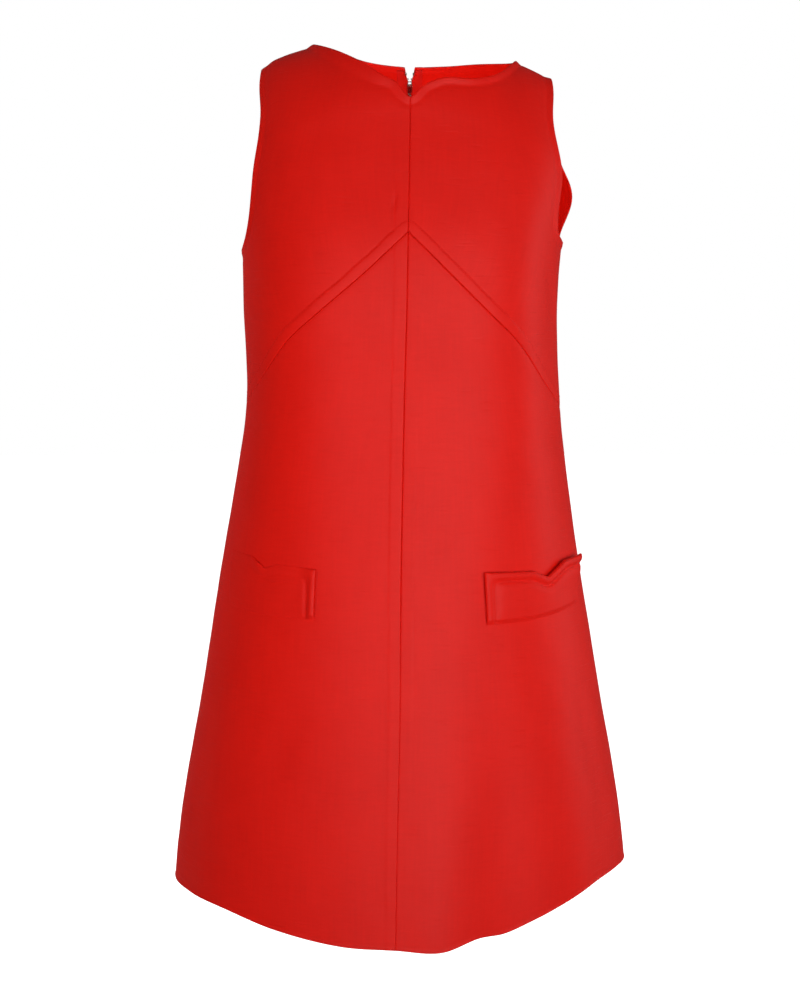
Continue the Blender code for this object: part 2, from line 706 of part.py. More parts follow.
slant_lift = 0.75 * SEAM_GAP   # up or down, so that a slanting seam's gap is SEAM_GAP across it
for one_side in (LEFT, RIGHT):
    label = side_name(one_side)
    bodice = upper_grid(one_side, FRONT, BODICE_GRID, lambda share: chevron_height(one_side, share))
    panel(f"front_bodice_{label}", one_side, FRONT, bodice, slant_lift)
    panel(f"front_skirt_{label}", one_side, FRONT, skirt_grid(one_side, SKIRT_GRID), -slant_lift)
    back_panel(one_side)
    pocket_welt(one_side)
    zip_tape(one_side)

zip_chain()
zip_head = bpy.data.objects.new("zip_head", None)
zip_head.matrix_world = zip_frame()
dress.objects.link(zip_head)
zip_slider(zip_head)
zip_pull(zip_head)
bpy.context.view_layer.update()
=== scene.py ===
# %% [markdown]
# # A scarlet A-line dress in wool crepe
#
# The dress is shown filled out, as if worn, with nobody in it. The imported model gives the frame:
# plain walls in the right places, and a pull tab that turns. This lesson lays the real cloth over
# that frame. Each panel is one surface, worked out from the same few sections as the frame, with
# the seams, pressed edges, stitches and soft creases of a sewn dress added as heights above it.

# %% Load the frame
import math
import bpy
import numpy as np
from mathutils import Matrix, Vector


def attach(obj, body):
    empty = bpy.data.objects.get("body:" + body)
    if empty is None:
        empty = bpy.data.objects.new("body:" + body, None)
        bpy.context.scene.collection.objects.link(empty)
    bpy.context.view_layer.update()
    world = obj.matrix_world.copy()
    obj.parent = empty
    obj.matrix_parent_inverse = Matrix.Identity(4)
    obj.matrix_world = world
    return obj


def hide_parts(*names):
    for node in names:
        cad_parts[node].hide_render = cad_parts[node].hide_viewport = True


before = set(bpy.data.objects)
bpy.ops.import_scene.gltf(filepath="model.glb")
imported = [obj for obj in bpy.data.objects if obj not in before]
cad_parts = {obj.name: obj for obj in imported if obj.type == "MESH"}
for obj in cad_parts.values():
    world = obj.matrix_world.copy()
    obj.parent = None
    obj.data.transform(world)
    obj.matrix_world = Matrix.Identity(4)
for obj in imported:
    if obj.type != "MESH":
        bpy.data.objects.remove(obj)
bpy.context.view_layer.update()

# %% [markdown]
# ## The form of the body of the dress
#
# A worn dress has no straight lines, but it has a simple rule. At any height a horizontal section
# is a rounded lens: as wide as the side seams, as deep as the middle seams. A short table of
# sections, joined by smooth curves, then gives every point of the cloth from two numbers, an angle
# round the body and a height. A sculpted mesh could look the same, but it could not be changed by
# one number, and the seams could not be put at exact heights. The front faces -Y, and left and
# right are as the picture shows them.

# %% Sections of the body
FRONT, BACK = -1, +1
LEFT, RIGHT = -1, +1
MM = 0.001                # a millimetre; all lengths are in metres
CLOTH = 0.0022            # wall of a panel
SEAM_GAP = 0.0003         # space left between pieces that lie on or beside each other

SECTION_COLUMNS = ("height", "centre", "left", "right", "front", "back", "fullness")
SECTIONS = (
    (+0.020, 0.0100, -0.148, 0.161, 0.078, 0.070, 0.05),
    (-0.060, 0.0097, -0.150, 0.164, 0.086, 0.088, 0.10),
    (-0.130, 0.0087, -0.157, 0.170, 0.104, 0.100, 0.20),
    (-0.195, 0.0075, -0.1555, 0.1590, 0.119, 0.102, 0.30),
    (-0.245, 0.0066, -0.1545, 0.1550, 0.1235, 0.099, 0.34),
    (-0.345, 0.0040, -0.1524, 0.1584, 0.1220, 0.099, 0.30),
    (-0.425, 0.0024, -0.1640, 0.1672, 0.128, 0.109, 0.18),
    (-0.514, 0.0009, -0.1793, 0.1802, 0.137, 0.122, 0.09),
    (-0.628, 0.0000, -0.1985, 0.2001, 0.148, 0.137, 0.00),
    (-0.772, -0.0030, -0.2230, 0.2240, 0.161, 0.154, -0.10),
    (-0.880, -0.0045, -0.2340, 0.2335, 0.170, 0.168, -0.14),
)
SHOULDER_COLUMNS = ("x", "height")
SHOULDER = (
    (-0.1400, -0.0290),
    (-0.1290, -0.0175),
    (-0.1120, -0.0090),
    (-0.0960, -0.0040),
    (-0.0830, 0.0000),
    (-0.0400, 0.0110),
    (0.0100, 0.0140),
    (0.0700, 0.0040),
    (0.1120, -0.0155),
    (0.1320, -0.0245),
    (0.1540, -0.0350),
)
ROLL = {FRONT: 0.085, BACK: 0.075}   # height over which the cloth turns over the shoulder
# The large folds: face, angle round the body, spread, rise at the hem, height where each one starts
FOLDS = (
    (FRONT, -50.0, 12.0, +0.0035, -0.500),
    (FRONT, -20.0, 11.0, -0.0020, -0.560),
    (FRONT, 9.0, 8.0, +0.0030, -0.560),
    (FRONT, 27.0, 9.0, -0.0060, -0.480),
    (FRONT, 48.0, 10.0, +0.0040, -0.520),
    (BACK, -52.0, 11.0, +0.0045, -0.480),
    (BACK, -28.0, 10.0, -0.0055, -0.440),
    (BACK, 12.0, 9.0, +0.0030, -0.560),
    (BACK, 34.0, 11.0, -0.0050, -0.500),
    (BACK, 58.0, 10.0, +0.0035, -0.540),
)
FOLD_RADIUS = 0.19                   # radius of the skirt at which a fold has its stated rise
HEM_LEVEL = -0.845                   # height at which the folds are fully grown
UNDERARM = {LEFT: -0.1975, RIGHT: -0.1905}
FLARE_BACK = {LEFT: 0.000, RIGHT: 0.011}   # how far the back armhole's edge stands out
FLARE_REACH = 0.090                  # and over which height above the underarm


# %% Smooth curves through short tables
def ease(t):
    """0 below 0, 1 above 1, and the smooth step 3t² - 2t³ between."""
    t = np.clip(t, 0.0, 1.0)
    return t * t * (3 - 2 * t)


def bell(t):
    """A soft bump: e to the power of minus t²."""
    return np.exp(-np.square(t))


def smooth_curve(knots, values, at):
    """Cubic spans through the points (knots, values), each knot's slope the mean of its spans'."""
    slopes = np.gradient(values, knots)
    at = np.asarray(at, dtype=float)
    span = np.clip(np.searchsorted(knots, at) - 1, 0, len(knots) - 2)
    width = knots[span + 1] - knots[span]
    t = np.clip((at - knots[span]) / width, 0.0, 1.0)
    start = (1 + 2 * t) * (1 - t) ** 2 * values[span] + t * (1 - t) ** 2 * width * slopes[span]
    end = t * t * (3 - 2 * t) * values[span + 1] - t * t * (1 - t) * width * slopes[span + 1]
    return start + end


def unit(vectors):
    """Vectors of length 1 with the same directions."""
    return vectors / np.linalg.norm(vectors, axis=-1, keepdims=True)


def way_along(line):
    """Running length along a line of points, from its first."""
    return np.concatenate([[0], np.cumsum(np.linalg.norm(np.diff(line, axis=0), axis=1))])


def values_at(places, way, values):
    """Rows of values, read at places on the way along their line."""
    return np.stack([np.interp(places, way, column) for column in values.T], -1)


def table_column(table, columns, name):
    """One named column of a table, as an array."""
    return np.array([row[columns.index(name)] for row in table], dtype=float)


def read(table, columns, key, name, at):
    """Smooth value of column name where column key has the value at."""
    knots = table_column(table, columns, key)
    order = np.argsort(knots)
    return smooth_curve(knots[order], table_column(table, columns, name)[order], at)


def section(name, z):
    """Smooth value of a section's column at height z."""
    return read(SECTIONS, SECTION_COLUMNS, "height", name, z)


def side_name(side):
    return "left" if side == LEFT else "right"


def face_name(face):
    return "front" if face == FRONT else "back"


# %% The surface itself
def side_x(side, face, z):
    """X of the side at height z. The back armhole's edge stands out by a sine squared."""
    x = section(side_name(side), z)
    if face == BACK:
        rise = np.clip((z - UNDERARM[side]) / FLARE_REACH, 0.0, 1.0)
        x = x + side * FLARE_BACK[side] * np.sin(math.pi * rise) ** 2
    return x


def fold_rise(face, angle, z):
    """Sum of the large folds: each is a bell across its angle that grows down to the hem."""
    total = np.zeros(np.broadcast(angle, z).shape)
    for fold_face, middle, spread, rise, top in FOLDS:
        if fold_face == face:
            total = total + rise * ease((top - z) / (top - HEM_LEVEL)) * bell((angle - middle) / spread)
    return total


def body_point(side, face, degrees, z):
    """Points of the cloth's outer face for arrays of angles and heights.

    x runs from the middle seam to the side as the sine of the angle. The depth falls as its
    cosine, times 1 + fullness x sine squared, and near the shoulder line along a quarter circle.
    """
    angle = np.radians(degrees)
    centre = section("centre", z)
    swell = 1 + fold_rise(face, side * degrees, z) / FOLD_RADIUS
    x = centre + (side_x(side, face, z) - centre) * np.sin(angle) * swell
    below = read(SHOULDER, SHOULDER_COLUMNS, "x", "height", x) - z
    roll = np.sqrt(np.clip(1 - (1 - np.clip(below / ROLL[face], 0, 1)) ** 2, 0, 1))
    fuller = 1 + section("fullness", z) * np.sin(angle) ** 2
    y = face * section(face_name(face), z) * np.cos(angle) * fuller * roll * swell
    return np.stack([x, y, z + 0 * x], axis=-1)


def surface_normals(side, face, degrees, z):
    """Outward unit normals: the cross product of a small step round and a small step down.

    They point away from a place on the body's axis, a hand's breadth below.
    """
    step_round, step_down, hand_breadth = 0.01, 1e-5, 0.08
    here = body_point(side, face, degrees, z)
    beside = body_point(side, face, degrees + np.where(degrees > 45, -step_round, step_round), z) - here
    under = body_point(side, face, degrees, z - step_down) - here
    normal = unit(np.cross(beside, under))
    inside = np.stack([section("centre", z), 0 * z, z - hand_breadth], axis=-1)
    return normal * np.sign(np.sum(normal * (here - inside), axis=-1, keepdims=True))


# %% [markdown]
# ## Edges and seams
#
# The neck, the armholes, the slanting seams and the hem are lines on that surface. Each is a
# table of a few heights or angles, read smoothly. The armhole is given as an angle over the way
# round it, because its foot is nearly level and a height could not tell two points there apart.

# %% Lines that bound the panels
NECK_COLUMNS = ("x", "height")
NECK = {
    FRONT: ((-0.0840, -0.0003), (-0.0528, -0.0147), (-0.0332, -0.0260), (-0.0160, -0.0383),
            (-0.0047, -0.0439), (0.0097, -0.0585), (0.0226, -0.0476), (0.0377, -0.0411),
            (0.0706, -0.0402), (0.0852, -0.0369), (0.0989, -0.0290), (0.1120, -0.0155)),
    BACK: ((-0.0840, -0.0003), (-0.0600, -0.0020), (-0.0303, -0.0080), (0.0100, -0.0115),
           (0.0450, -0.0115), (0.0800, -0.0115), (0.1120, -0.0155)),
}
ARMHOLE_COLUMNS = ("way", "front_left", "front_right", "back_left", "back_right")
ARMHOLE = (
    (0.00, 90.0, 90.0, 90.0, 90.0),
    (0.14, 78.0, 74.0, 80.0, 82.0),
    (0.35, 68.5, 66.0, 69.0, 75.5),
    (0.60, 64.0, 64.5, 64.0, 72.0),
    (0.82, 63.0, 61.5, 62.0, 68.0),
    (0.95, 66.5, 64.5, 66.0, 65.5),
    (1.00, 66.0, 64.5, 66.0, 64.5),
)
CHEVRON_COLUMNS = ("angle", "left", "right")
CHEVRON = (
    (0.0, -0.1850, -0.1850),
    (15.0, -0.2245, -0.2225),
    (30.0, -0.2575, -0.2570),
    (45.0, -0.2860, -0.2870),
    (60.0, -0.3190, -0.3220),
    (75.0, -0.3410, -0.3450),
    (90.0, -0.3485, -0.3540),
)
HEM_COLUMNS = ("angle", "front", "back")
HEM = (
    (-90.0, -0.8255, -0.8255),
    (-62.0, -0.8262, -0.8290),
    (-47.0, -0.8290, -0.8335),
    (-31.0, -0.8404, -0.8395),
    (-12.0, -0.8495, -0.8440),
    (0.0, -0.8503, -0.8440),
    (10.7, -0.8528, -0.8432),
    (19.7, -0.8441, -0.8415),
    (26.7, -0.8434, -0.8395),
    (36.4, -0.8315, -0.8345),
    (43.0, -0.8224, -0.8295),
    (52.4, -0.8129, -0.8225),
    (67.0, -0.8069, -0.8130),
    (90.0, -0.8078, -0.8078),
)
COLUMN_BEND = 3           # power with which columns bend aside towards the armhole
SETTLING_ROUNDS = 30      # repeats after which a height that depends on its own X has settled


def outer_end_angle(side, face):
    """Angle at which a panel's shoulder seam meets the armhole."""
    return table_column(ARMHOLE, ARMHOLE_COLUMNS, f"{face_name(face)}_{side_name(side)}")[-1]


def armhole_angle(side, face, z):
    """Angle of the outer edge: 90 at the side seam, and the table's angle round the armhole."""
    rise = np.clip((z - UNDERARM[side]) / (SHOULDER_END[side] - UNDERARM[side]), 0.0, 1.0)
    way = np.arccos(1 - rise) * 2 / math.pi
    return read(ARMHOLE, ARMHOLE_COLUMNS, "way", f"{face_name(face)}_{side_name(side)}", way)


def column_angles(across, edge):
    """Angles of the columns a share of the way across, of which the last lies at the edge."""
    return 90.0 * across - (90.0 - edge) * across ** COLUMN_BEND


def neck_point(side, face):
    """X where the neck edge meets the shoulder seam."""
    return NECK[face][0 if side == LEFT else -1][0]


def top_height(side, face, across):
    """Height of the top edge: the neck's height at that X, or the shoulder's beyond the neck point.

    The X depends on the height in turn, so the height is worked out by repeating.
    """
    degrees = column_angles(across, outer_end_angle(side, face))
    z = np.full(np.shape(across), -0.02)
    for _ in range(SETTLING_ROUNDS):
        x = body_point(side, face, degrees, z)[..., 0]
        neck = read(NECK[face], NECK_COLUMNS, "x", "height", x)
        shoulder = read(SHOULDER, SHOULDER_COLUMNS, "x", "height", x)
        z = np.where(side * x < side * neck_point(side, face), neck, shoulder)
    return z


def neck_share(side, face):
    """Share of the way across at which the top edge passes the neck point."""
    shares = np.linspace(0.3, 0.95, 1301)
    degrees = column_angles(shares, outer_end_angle(side, face))
    x = body_point(side, face, degrees, top_height(side, face, shares))[:, 0]
    return float(shares[np.argmin(np.abs(x - neck_point(side, face)))])


def chevron_height(side, across):
    """Height of the slanting seam a share of the way across the front."""
    return read(CHEVRON, CHEVRON_COLUMNS, "angle", side_name(side), across * 90.0)


def hem_height(side, face, across):
    """Height of the hem a share of the way across a panel."""
    return read(HEM, HEM_COLUMNS, "angle", face_name(face), side * across * 90.0)


SHOULDER_END = {side: float(top_height(side, FRONT, np.array(1.0))) for side in (LEFT, RIGHT)}
print("shoulder ends at heights", {side_name(s): round(z, 4) for s, z in SHOULDER_END.items()})

# %% [markdown]
# ## A grid that is fine where the sewing is
#
# A seam's rounded edge is about a millimetre wide, and the cloth between seams is plain for
# twenty centimetres. An even grid fine enough for the seam would have millions of faces. So the
# rows and columns crowd together at the seams and edges: the density of lines is 1 plus a few
# bells, and the lines stand where its running total passes equal steps.


# %% Rows and columns
def crowded(count, *crowds):
    """count + 1 places from 0 to 1. Each crowd is (place, reach, how many times denser)."""
    t = np.linspace(0, 1, 4001)
    density = 1 + sum(times * bell((t - place) / reach) for place, reach, times in crowds)
    total = np.concatenate([[0], np.cumsum((density[1:] + density[:-1]) / 2)])
    return np.interp(np.linspace(0, 1, count + 1), total / total[-1], t)


# Where columns crowd: at the middle seam, its pressed line and the outer edge
COLUMN_CROWDS = ((0.0, 0.010, 9), (0.045, 0.025, 2.5), (1.0, 0.012, 7))
TOP_CROWDS = ((0.0, 0.02, 7), (0.08, 0.06, 1.2))     # rows: at the neck edge, and just below it


def columns_across(side, face, count):
    """Shares across a panel, of which one is the neck point's, and that column's number."""
    across = crowded(count, *COLUMN_CROWDS)
    corner = neck_share(side, face)
    neck_column = int(np.argmin(np.abs(across - corner)))
    across[neck_column] = corner
    return across[None, :], neck_column


def upper_grid(side, face, across, above, below, bottom):
    """Angles and heights of a panel that reaches the shoulder, row by row.

    The row between above and below lies level at the underarm, or as low as the panel lets it.
    Above it the rows of the middle close up to the neck edge and the shoulder, and those at the
    armhole go round it in even steps.
    """
    down = above[:, None]
    top = top_height(side, face, across)
    low = bottom(across)
    middle = down ** (1 + ease((across / neck_share(side, face) - 0.75) / 0.25))
    edge = np.sin(math.pi / 2 * down ** 2)
    level = np.clip((UNDERARM[side] - top) / (low - top), 0, 0.8)
    share = np.concatenate([level * (middle + (edge - middle) * across ** 2),
                            level + (1 - level) * below[1:, None]])
    z = top + (low - top) * share
    return column_angles(across, armhole_angle(side, face, z[:, -1:])), z


def upper_lines(neck_column, above):
    """Stretches of the outline of a panel that reaches the shoulder, as places in its grid."""
    underarm_row = len(above) - 1
    return {"middle": np.s_[:, 0], "neck": np.s_[0, :neck_column + 1],
            "shoulder": np.s_[0, neck_column:], "armhole": np.s_[:underarm_row + 1, -1],
            "side": np.s_[underarm_row:, -1]}


# %% [markdown]
# ## What sewing does to the cloth
#
# Each mark is a height over the distance to a line: how far a point lies from a seam or an edge.
# A seam's edge rolls in along a quarter circle. The seam allowance behind it lifts a band about
# ten millimetres wide, whose pressed and stitched edge shows as a soft, dimpled step. A free edge,
# such as the neck, is turned under, so it is thicker and stands away a little. Distances are
# measured to the line's straight bits, all points at once.


# %% Distance to a line
def distance_to_line(points, line, spacing=2 * MM):
    """Distance of each point to a line: to each of its straight bits in turn, keeping the least."""
    way = way_along(line)
    knots = values_at(np.linspace(0, way[-1], max(2, int(way[-1] / spacing) + 1)), way, line)
    nearest = np.full(points.shape[:-1], np.inf)
    for start, end in zip(knots[:-1], knots[1:]):
        along = end - start
        t = np.clip((points - start) @ along / (along @ along), 0, 1)
        nearest = np.minimum(nearest, np.sum((points - start - t[..., None] * along) ** 2, -1))
    return np.sqrt(nearest)


# %% Wrinkles that repeat unevenly
def uneven(way, step, seed):
    """A wave of about that step along a line, between 0 and 1, whose beat drifts."""
    drift = np.sin(way / step * 0.83 + seed) + 0.6 * np.sin(way / step * 0.31 + 2.3 * seed)
    return 0.5 + 0.5 * np.sin(2 * math.pi * way / step + 1.7 * drift)


WAVE_LENGTHS = (0.120, 0.085, 0.060, 0.043, 0.030)


def slow_waves(points, seed):
    """The cloth's slight unevenness: five long sine waves in different directions, summed."""
    rng = np.random.default_rng(seed)
    total = 0
    for length in WAVE_LENGTHS:
        direction = rng.normal(size=3) * (1.0, 1.0, 0.6)
        direction *= 2 * math.pi / length / np.linalg.norm(direction)
        total = total + length * np.sin(points @ direction + rng.uniform(0, 6.28))
    return total / sum(WAVE_LENGTHS)


# %% Profiles across a line
ROLL_RADIUS, ROLL_DEPTH = 1.3 * MM, 1.15 * MM        # of a seam's edge
VALLEY_REACH, VALLEY_DEPTH = 3.2 * MM, 0.32 * MM     # of the soft valley it lies in
BAND_HEIGHT = 0.42 * MM                              # of the cloth over a seam allowance
BAND_SOFTNESS = 2.6 * MM                             # width of the step at its edge
DIMPLE_LEAST, DIMPLE_MORE = 0.06 * MM, 0.40 * MM     # depth that stitches pull it in
DIMPLE_STEP, DIMPLE_DRIFT = 6.5 * MM, 41 * MM        # how they repeat, and come and go
DIMPLE_REACH = 1.3 * MM


def quarter_circle(distance, radius):
    """0 from a radius away, growing to 1 at the line as a quarter circle drops."""
    t = 1 - np.clip(distance / radius, 0, 1)
    return 1 - np.sqrt(1 - t * t)


def rolled_in(distance, strength):
    """A seam's edge: it drops along a quarter circle, in a slightly wider soft valley."""
    return -strength * (ROLL_DEPTH * quarter_circle(distance, ROLL_RADIUS)
                        + VALLEY_DEPTH * bell(distance / VALLEY_REACH))


def pressed_band(distance, way, strength, width, seed):
    """The band over a seam allowance, as two heights: raised up to its stitched edge, and along
    that edge a line of uneven dimples."""
    plateau = strength * BAND_HEIGHT * (1 - ease((distance - width + 1.2 * MM) / BAND_SOFTNESS))
    beat = uneven(way, DIMPLE_STEP, seed) ** 2 * uneven(way, DIMPLE_DRIFT, 3 * seed + 1)
    depth = DIMPLE_LEAST + DIMPLE_MORE * beat
    return plateau, strength * depth * bell((distance - width) / DIMPLE_REACH)


def turned_edge(distance, width, lift):
    """A free edge: it stands out towards its rim over that width, with a soft bend at the foot."""
    bend = 0.15 * bell((distance - width) / (0.35 * width))
    return lift * (1 - ease(distance / width) - bend)


# %% [markdown]
# ## Creases
#
# Heavy crepe hardly creases, but it is never as smooth as a turned shape. A few soft troughs and
# ridges lie where a worn dress pulls: from the underarms, at the waist, under the zip. Each is a
# straight stretch between two places, a bell across and fading at both ends. A cloth simulation
# would put them at random, and here their places matter.

# %% The creases, as places on the dress
# Face, angle and height where a crease starts, the same where it ends, its width and its rise
CREASES = (
    (FRONT, 70.0, -0.196, 79.0, -0.290, 4.0 * MM, +1.3 * MM),
    (FRONT, 62.0, -0.205, 73.0, -0.285, 7.0 * MM, -0.8 * MM),
    (FRONT, -84.0, -0.215, -52.0, -0.238, 8.0 * MM, -1.1 * MM),
    (FRONT, -88.0, -0.236, -60.0, -0.262, 7.0 * MM, +0.7 * MM),
    (FRONT, -4.6, -0.146, -4.4, -0.172, 2.0 * MM, -0.9 * MM),
    (FRONT, -88.0, -0.362, -44.0, -0.380, 12.0 * MM, -0.9 * MM),
    (FRONT, 88.0, -0.376, 50.0, -0.392, 11.0 * MM, -1.0 * MM),
    (FRONT, 20.0, -0.068, 50.0, -0.110, 14.0 * MM, -0.7 * MM),
    (FRONT, -20.0, -0.070, -48.0, -0.118, 15.0 * MM, -0.8 * MM),
    (FRONT, -30.0, -0.600, -36.0, -0.760, 14.0 * MM, -1.2 * MM),
    (FRONT, 60.0, -0.600, 66.0, -0.790, 13.0 * MM, -1.4 * MM),
    (BACK, 78.0, -0.205, 44.0, -0.190, 9.0 * MM, -1.3 * MM),
    (BACK, -80.0, -0.212, -50.0, -0.200, 8.0 * MM, -1.2 * MM),
    (BACK, -62.0, -0.318, 16.0, -0.334, 10.0 * MM, -2.0 * MM),
    (BACK, -20.0, -0.352, 58.0, -0.346, 11.0 * MM, -2.3 * MM),
    (BACK, -74.0, -0.372, -12.0, -0.384, 9.0 * MM, +1.3 * MM),
    (BACK, 24.0, -0.392, 80.0, -0.386, 10.0 * MM, -1.5 * MM),
    (BACK, -40.0, -0.090, -14.0, -0.150, 12.0 * MM, -0.9 * MM),
    (BACK, 18.0, -0.080, 46.0, -0.138, 13.0 * MM, -1.0 * MM),
    (BACK, 24.0, -0.560, 29.0, -0.800, 15.0 * MM, -1.8 * MM),
    (BACK, -58.0, -0.620, -64.0, -0.815, 13.0 * MM, -1.6 * MM),
)
CREASE_RADIUS = 0.14      # typical radius of the body, which turns angles into distances


def crease_rise(face, degrees, z):
    """Sum of the creases: each is a bell across a slightly bent line, and fades at both ends."""
    around = np.radians(degrees) * CREASE_RADIUS
    total = np.zeros(np.shape(degrees))
    for crease_face, angle_1, z_1, angle_2, z_2, width, rise in CREASES:
        if crease_face == face:
            start = np.array([math.radians(angle_1) * CREASE_RADIUS, z_1])
            along = np.array([math.radians(angle_2) * CREASE_RADIUS, z_2]) - start
            t = ((around - start[0]) * along[0] + (z - start[1]) * along[1]) / (along @ along)
            bend = 0.25 * width * np.sin(5 * t + angle_1)
            off = ((around - start[0]) * along[1] - (z - start[1]) * along[0]) / np.sqrt(along @ along)
            total += rise * bell((off + bend) / width) * bell((t - 0.5) / 0.42) ** 2
    return total


# %% [markdown]
# ## From a grid of points to a sewn panel
#
# A panel is a closed wall: the outer face, the inner face moved in by the cloth's thickness, and
# a narrow rim. Solidify would do it too, but here the outer face alone takes the stitch marks,
# and both faces close up at a folded edge. The map from the cloth to the picture plane (its UV
# map) is laid out in metres along the threads, so that the weave keeps its size everywhere.


# %% Meshes from grids
def lengths_along(points, axis):
    """Running length along the rows or columns of a grid, from its first line."""
    steps = np.linalg.norm(np.diff(points, axis=axis), axis=-1)
    first = np.zeros_like(np.take(steps, [0], axis=axis))
    return np.concatenate([first, np.cumsum(steps, axis=axis)], axis=axis)


def grid_numbers(shape, wrapped=()):
    """Point numbers of a grid, row by row. Along a wrapped axis its first line follows its last."""
    numbers = np.arange(shape[0] * shape[1]).reshape(shape[:2])
    return np.pad(numbers, [(0, int(axis in wrapped)) for axis in (0, 1)], mode="wrap")


def grid_faces(numbers):
    """Four-cornered faces between the neighbours of a grid of point numbers."""
    corners = numbers[:-1, :-1], numbers[1:, :-1], numbers[1:, 1:], numbers[:-1, 1:]
    return np.stack(corners, -1).reshape(-1, 4)


def closed_shell(name, outer, inner, uv, material):
    """A wall between two grids of points, closed by a rim, with one UV place for each point pair."""
    rows, columns = outer.shape[:2]
    count = rows * columns
    index = grid_numbers((rows, columns))
    quads = grid_faces(index)
    rim = np.concatenate([index[0, :-1], index[:-1, -1], index[-1, :0:-1], index[:0:-1, 0]])
    following = np.roll(rim, -1)
    sides = np.stack([rim, following, following + count, rim + count], -1)
    faces = np.concatenate([quads, quads[:, ::-1] + count, sides])
    points = np.concatenate([outer.reshape(-1, 3), inner.reshape(-1, 3)])
    corner = outer[0, 0]
    normal = np.cross(outer[1, 0] - corner, outer[1, 1] - corner)
    middle = rows // 2, columns // 2
    if normal @ (outer[middle] - inner[middle]) < 0:
        faces = faces[:, ::-1]
    uvs = np.concatenate([uv.reshape(-1, 2), uv.reshape(-1, 2)])
    return mesh_piece(name, points, faces, uvs, material)


def mesh_piece(name, points, faces, uvs, material):
    """A smooth mesh object at the origin, made from whole arrays of points, faces and UV places."""
    mesh = bpy.data.meshes.new(name)
    mesh.vertices.add(len(points))
    mesh.vertices.foreach_set("co", np.asarray(points, np.float32).ravel())
    size = faces.shape[1]
    mesh.loops.add(faces.size)
    mesh.loops.foreach_set("vertex_index", np.asarray(faces, np.int32).ravel())
    mesh.polygons.add(len(faces))
    mesh.polygons.foreach_set("loop_start", np.arange(0, faces.size, size, dtype=np.int32))
    mesh.update(calc_edges=True)
    layer = mesh.uv_layers.new(name="UVMap")
    layer.data.foreach_set("uv", np.asarray(uvs, np.float32)[faces.ravel()].ravel())
    mesh.shade_smooth()
    mesh.materials.append(material)
    mesh.validate()
    piece = bpy.data.objects.new(name, mesh)
    bpy.context.scene.collection.objects.link(piece)
    return piece


def flat_size(outer):
    """Width, length and area of a panel's outer face, unrolled along its rows and columns."""
    first, second = outer[1:, 1:] - outer[:-1, :-1], outer[1:, :-1] - outer[:-1, 1:]
    area = 0.5 * np.linalg.norm(np.cross(first, second), axis=-1).sum()
    return lengths_along(outer, 1)[:, -1].max(), lengths_along(outer, 0)[-1].max(), area


# %% [markdown]
# ## Wool crepe, tape, thread and metal
#
# Crepe is woven from hard-twisted yarns, so its face is a fine, irregular grain, with a thicker
# stretch of yarn now and then. It is matt, but the wool's fibres catch light at a grazing angle,
# which is what sheen does. An image of cloth would repeat and blur. Here the yarns are noise
# stretched along the threads, read from the UV map in metres, so they have their real size. The
# grain is a node group, because the crepe, the zip's tape and the sewing thread all use it.


# %% Small helpers for nodes
def add(tree, kind, inputs=(), **settings):
    """A node with settings and inputs. An input is a number, a colour or another node's socket."""
    made = tree.nodes.new(kind)
    for name, value in settings.items():
        setattr(made, name, value)
    for name, value in dict(inputs).items():
        if isinstance(value, bpy.types.NodeSocket):
            tree.links.new(value, made.inputs[name])
        else:
            made.inputs[name].default_value = value
    return made


def calc(tree, operation, first, second=0.0, third=0.0):
    """The result socket of a Math node."""
    return add(tree, "ShaderNodeMath", {0: first, 1: second, 2: third}, operation=operation).outputs[0]


def new_group(name, inputs, outputs):
    """A shader node group with named float, colour or vector sockets."""
    tree = bpy.data.node_groups.new(name, "ShaderNodeTree")
    for direction, sockets in (("INPUT", inputs), ("OUTPUT", outputs)):
        for socket_name, (kind, default) in sockets.items():
            socket = tree.interface.new_socket(socket_name, in_out=direction, socket_type=kind)
            if direction == "INPUT" and default is not None:
                socket.default_value = default
    return tree, tree.nodes.new("NodeGroupInput"), tree.nodes.new("NodeGroupOutput")


def stretched_noise(tree, vector, across, along, detail=1.0):
    """Noise between 0 and 1 with that many cells a metre across and along the cloth."""
    scaled = add(tree, "ShaderNodeVectorMath", {0: vector, 1: (across, along, along)},
                 operation="MULTIPLY").outputs[0]
    return add(tree, "ShaderNodeTexNoise",
               {"Vector": scaled, "Scale": 1.0, "Detail": detail, "Roughness": 0.5}).outputs["Fac"]


def new_material(name):
    """A material with nodes, its tree and its Principled shader."""
    made = bpy.data.materials.new(name)
    made.use_nodes = True
    return made, made.node_tree, made.node_tree.nodes["Principled BSDF"]


def two_tones(tree, share, first, second):
    """The first tone where the share is 0, the second where it is 1, and a mixture between."""
    mixed = add(tree, "ShaderNodeMix", {"Factor": share}, data_type="RGBA", clamp_factor=True)
    mixed.inputs[6].default_value = (*first, 1)
    mixed.inputs[7].default_value = (*second, 1)
    return mixed.outputs[2]


def remap(tree, value, low, high, to_low=0.0, to_high=1.0):
    """A value carried linearly from one range to another, and held at its ends."""
    return add(tree, "ShaderNodeMapRange", {"Value": value, "From Min": low, "From Max": high,
                                            "To Min": to_low, "To Max": to_high}).outputs[0]


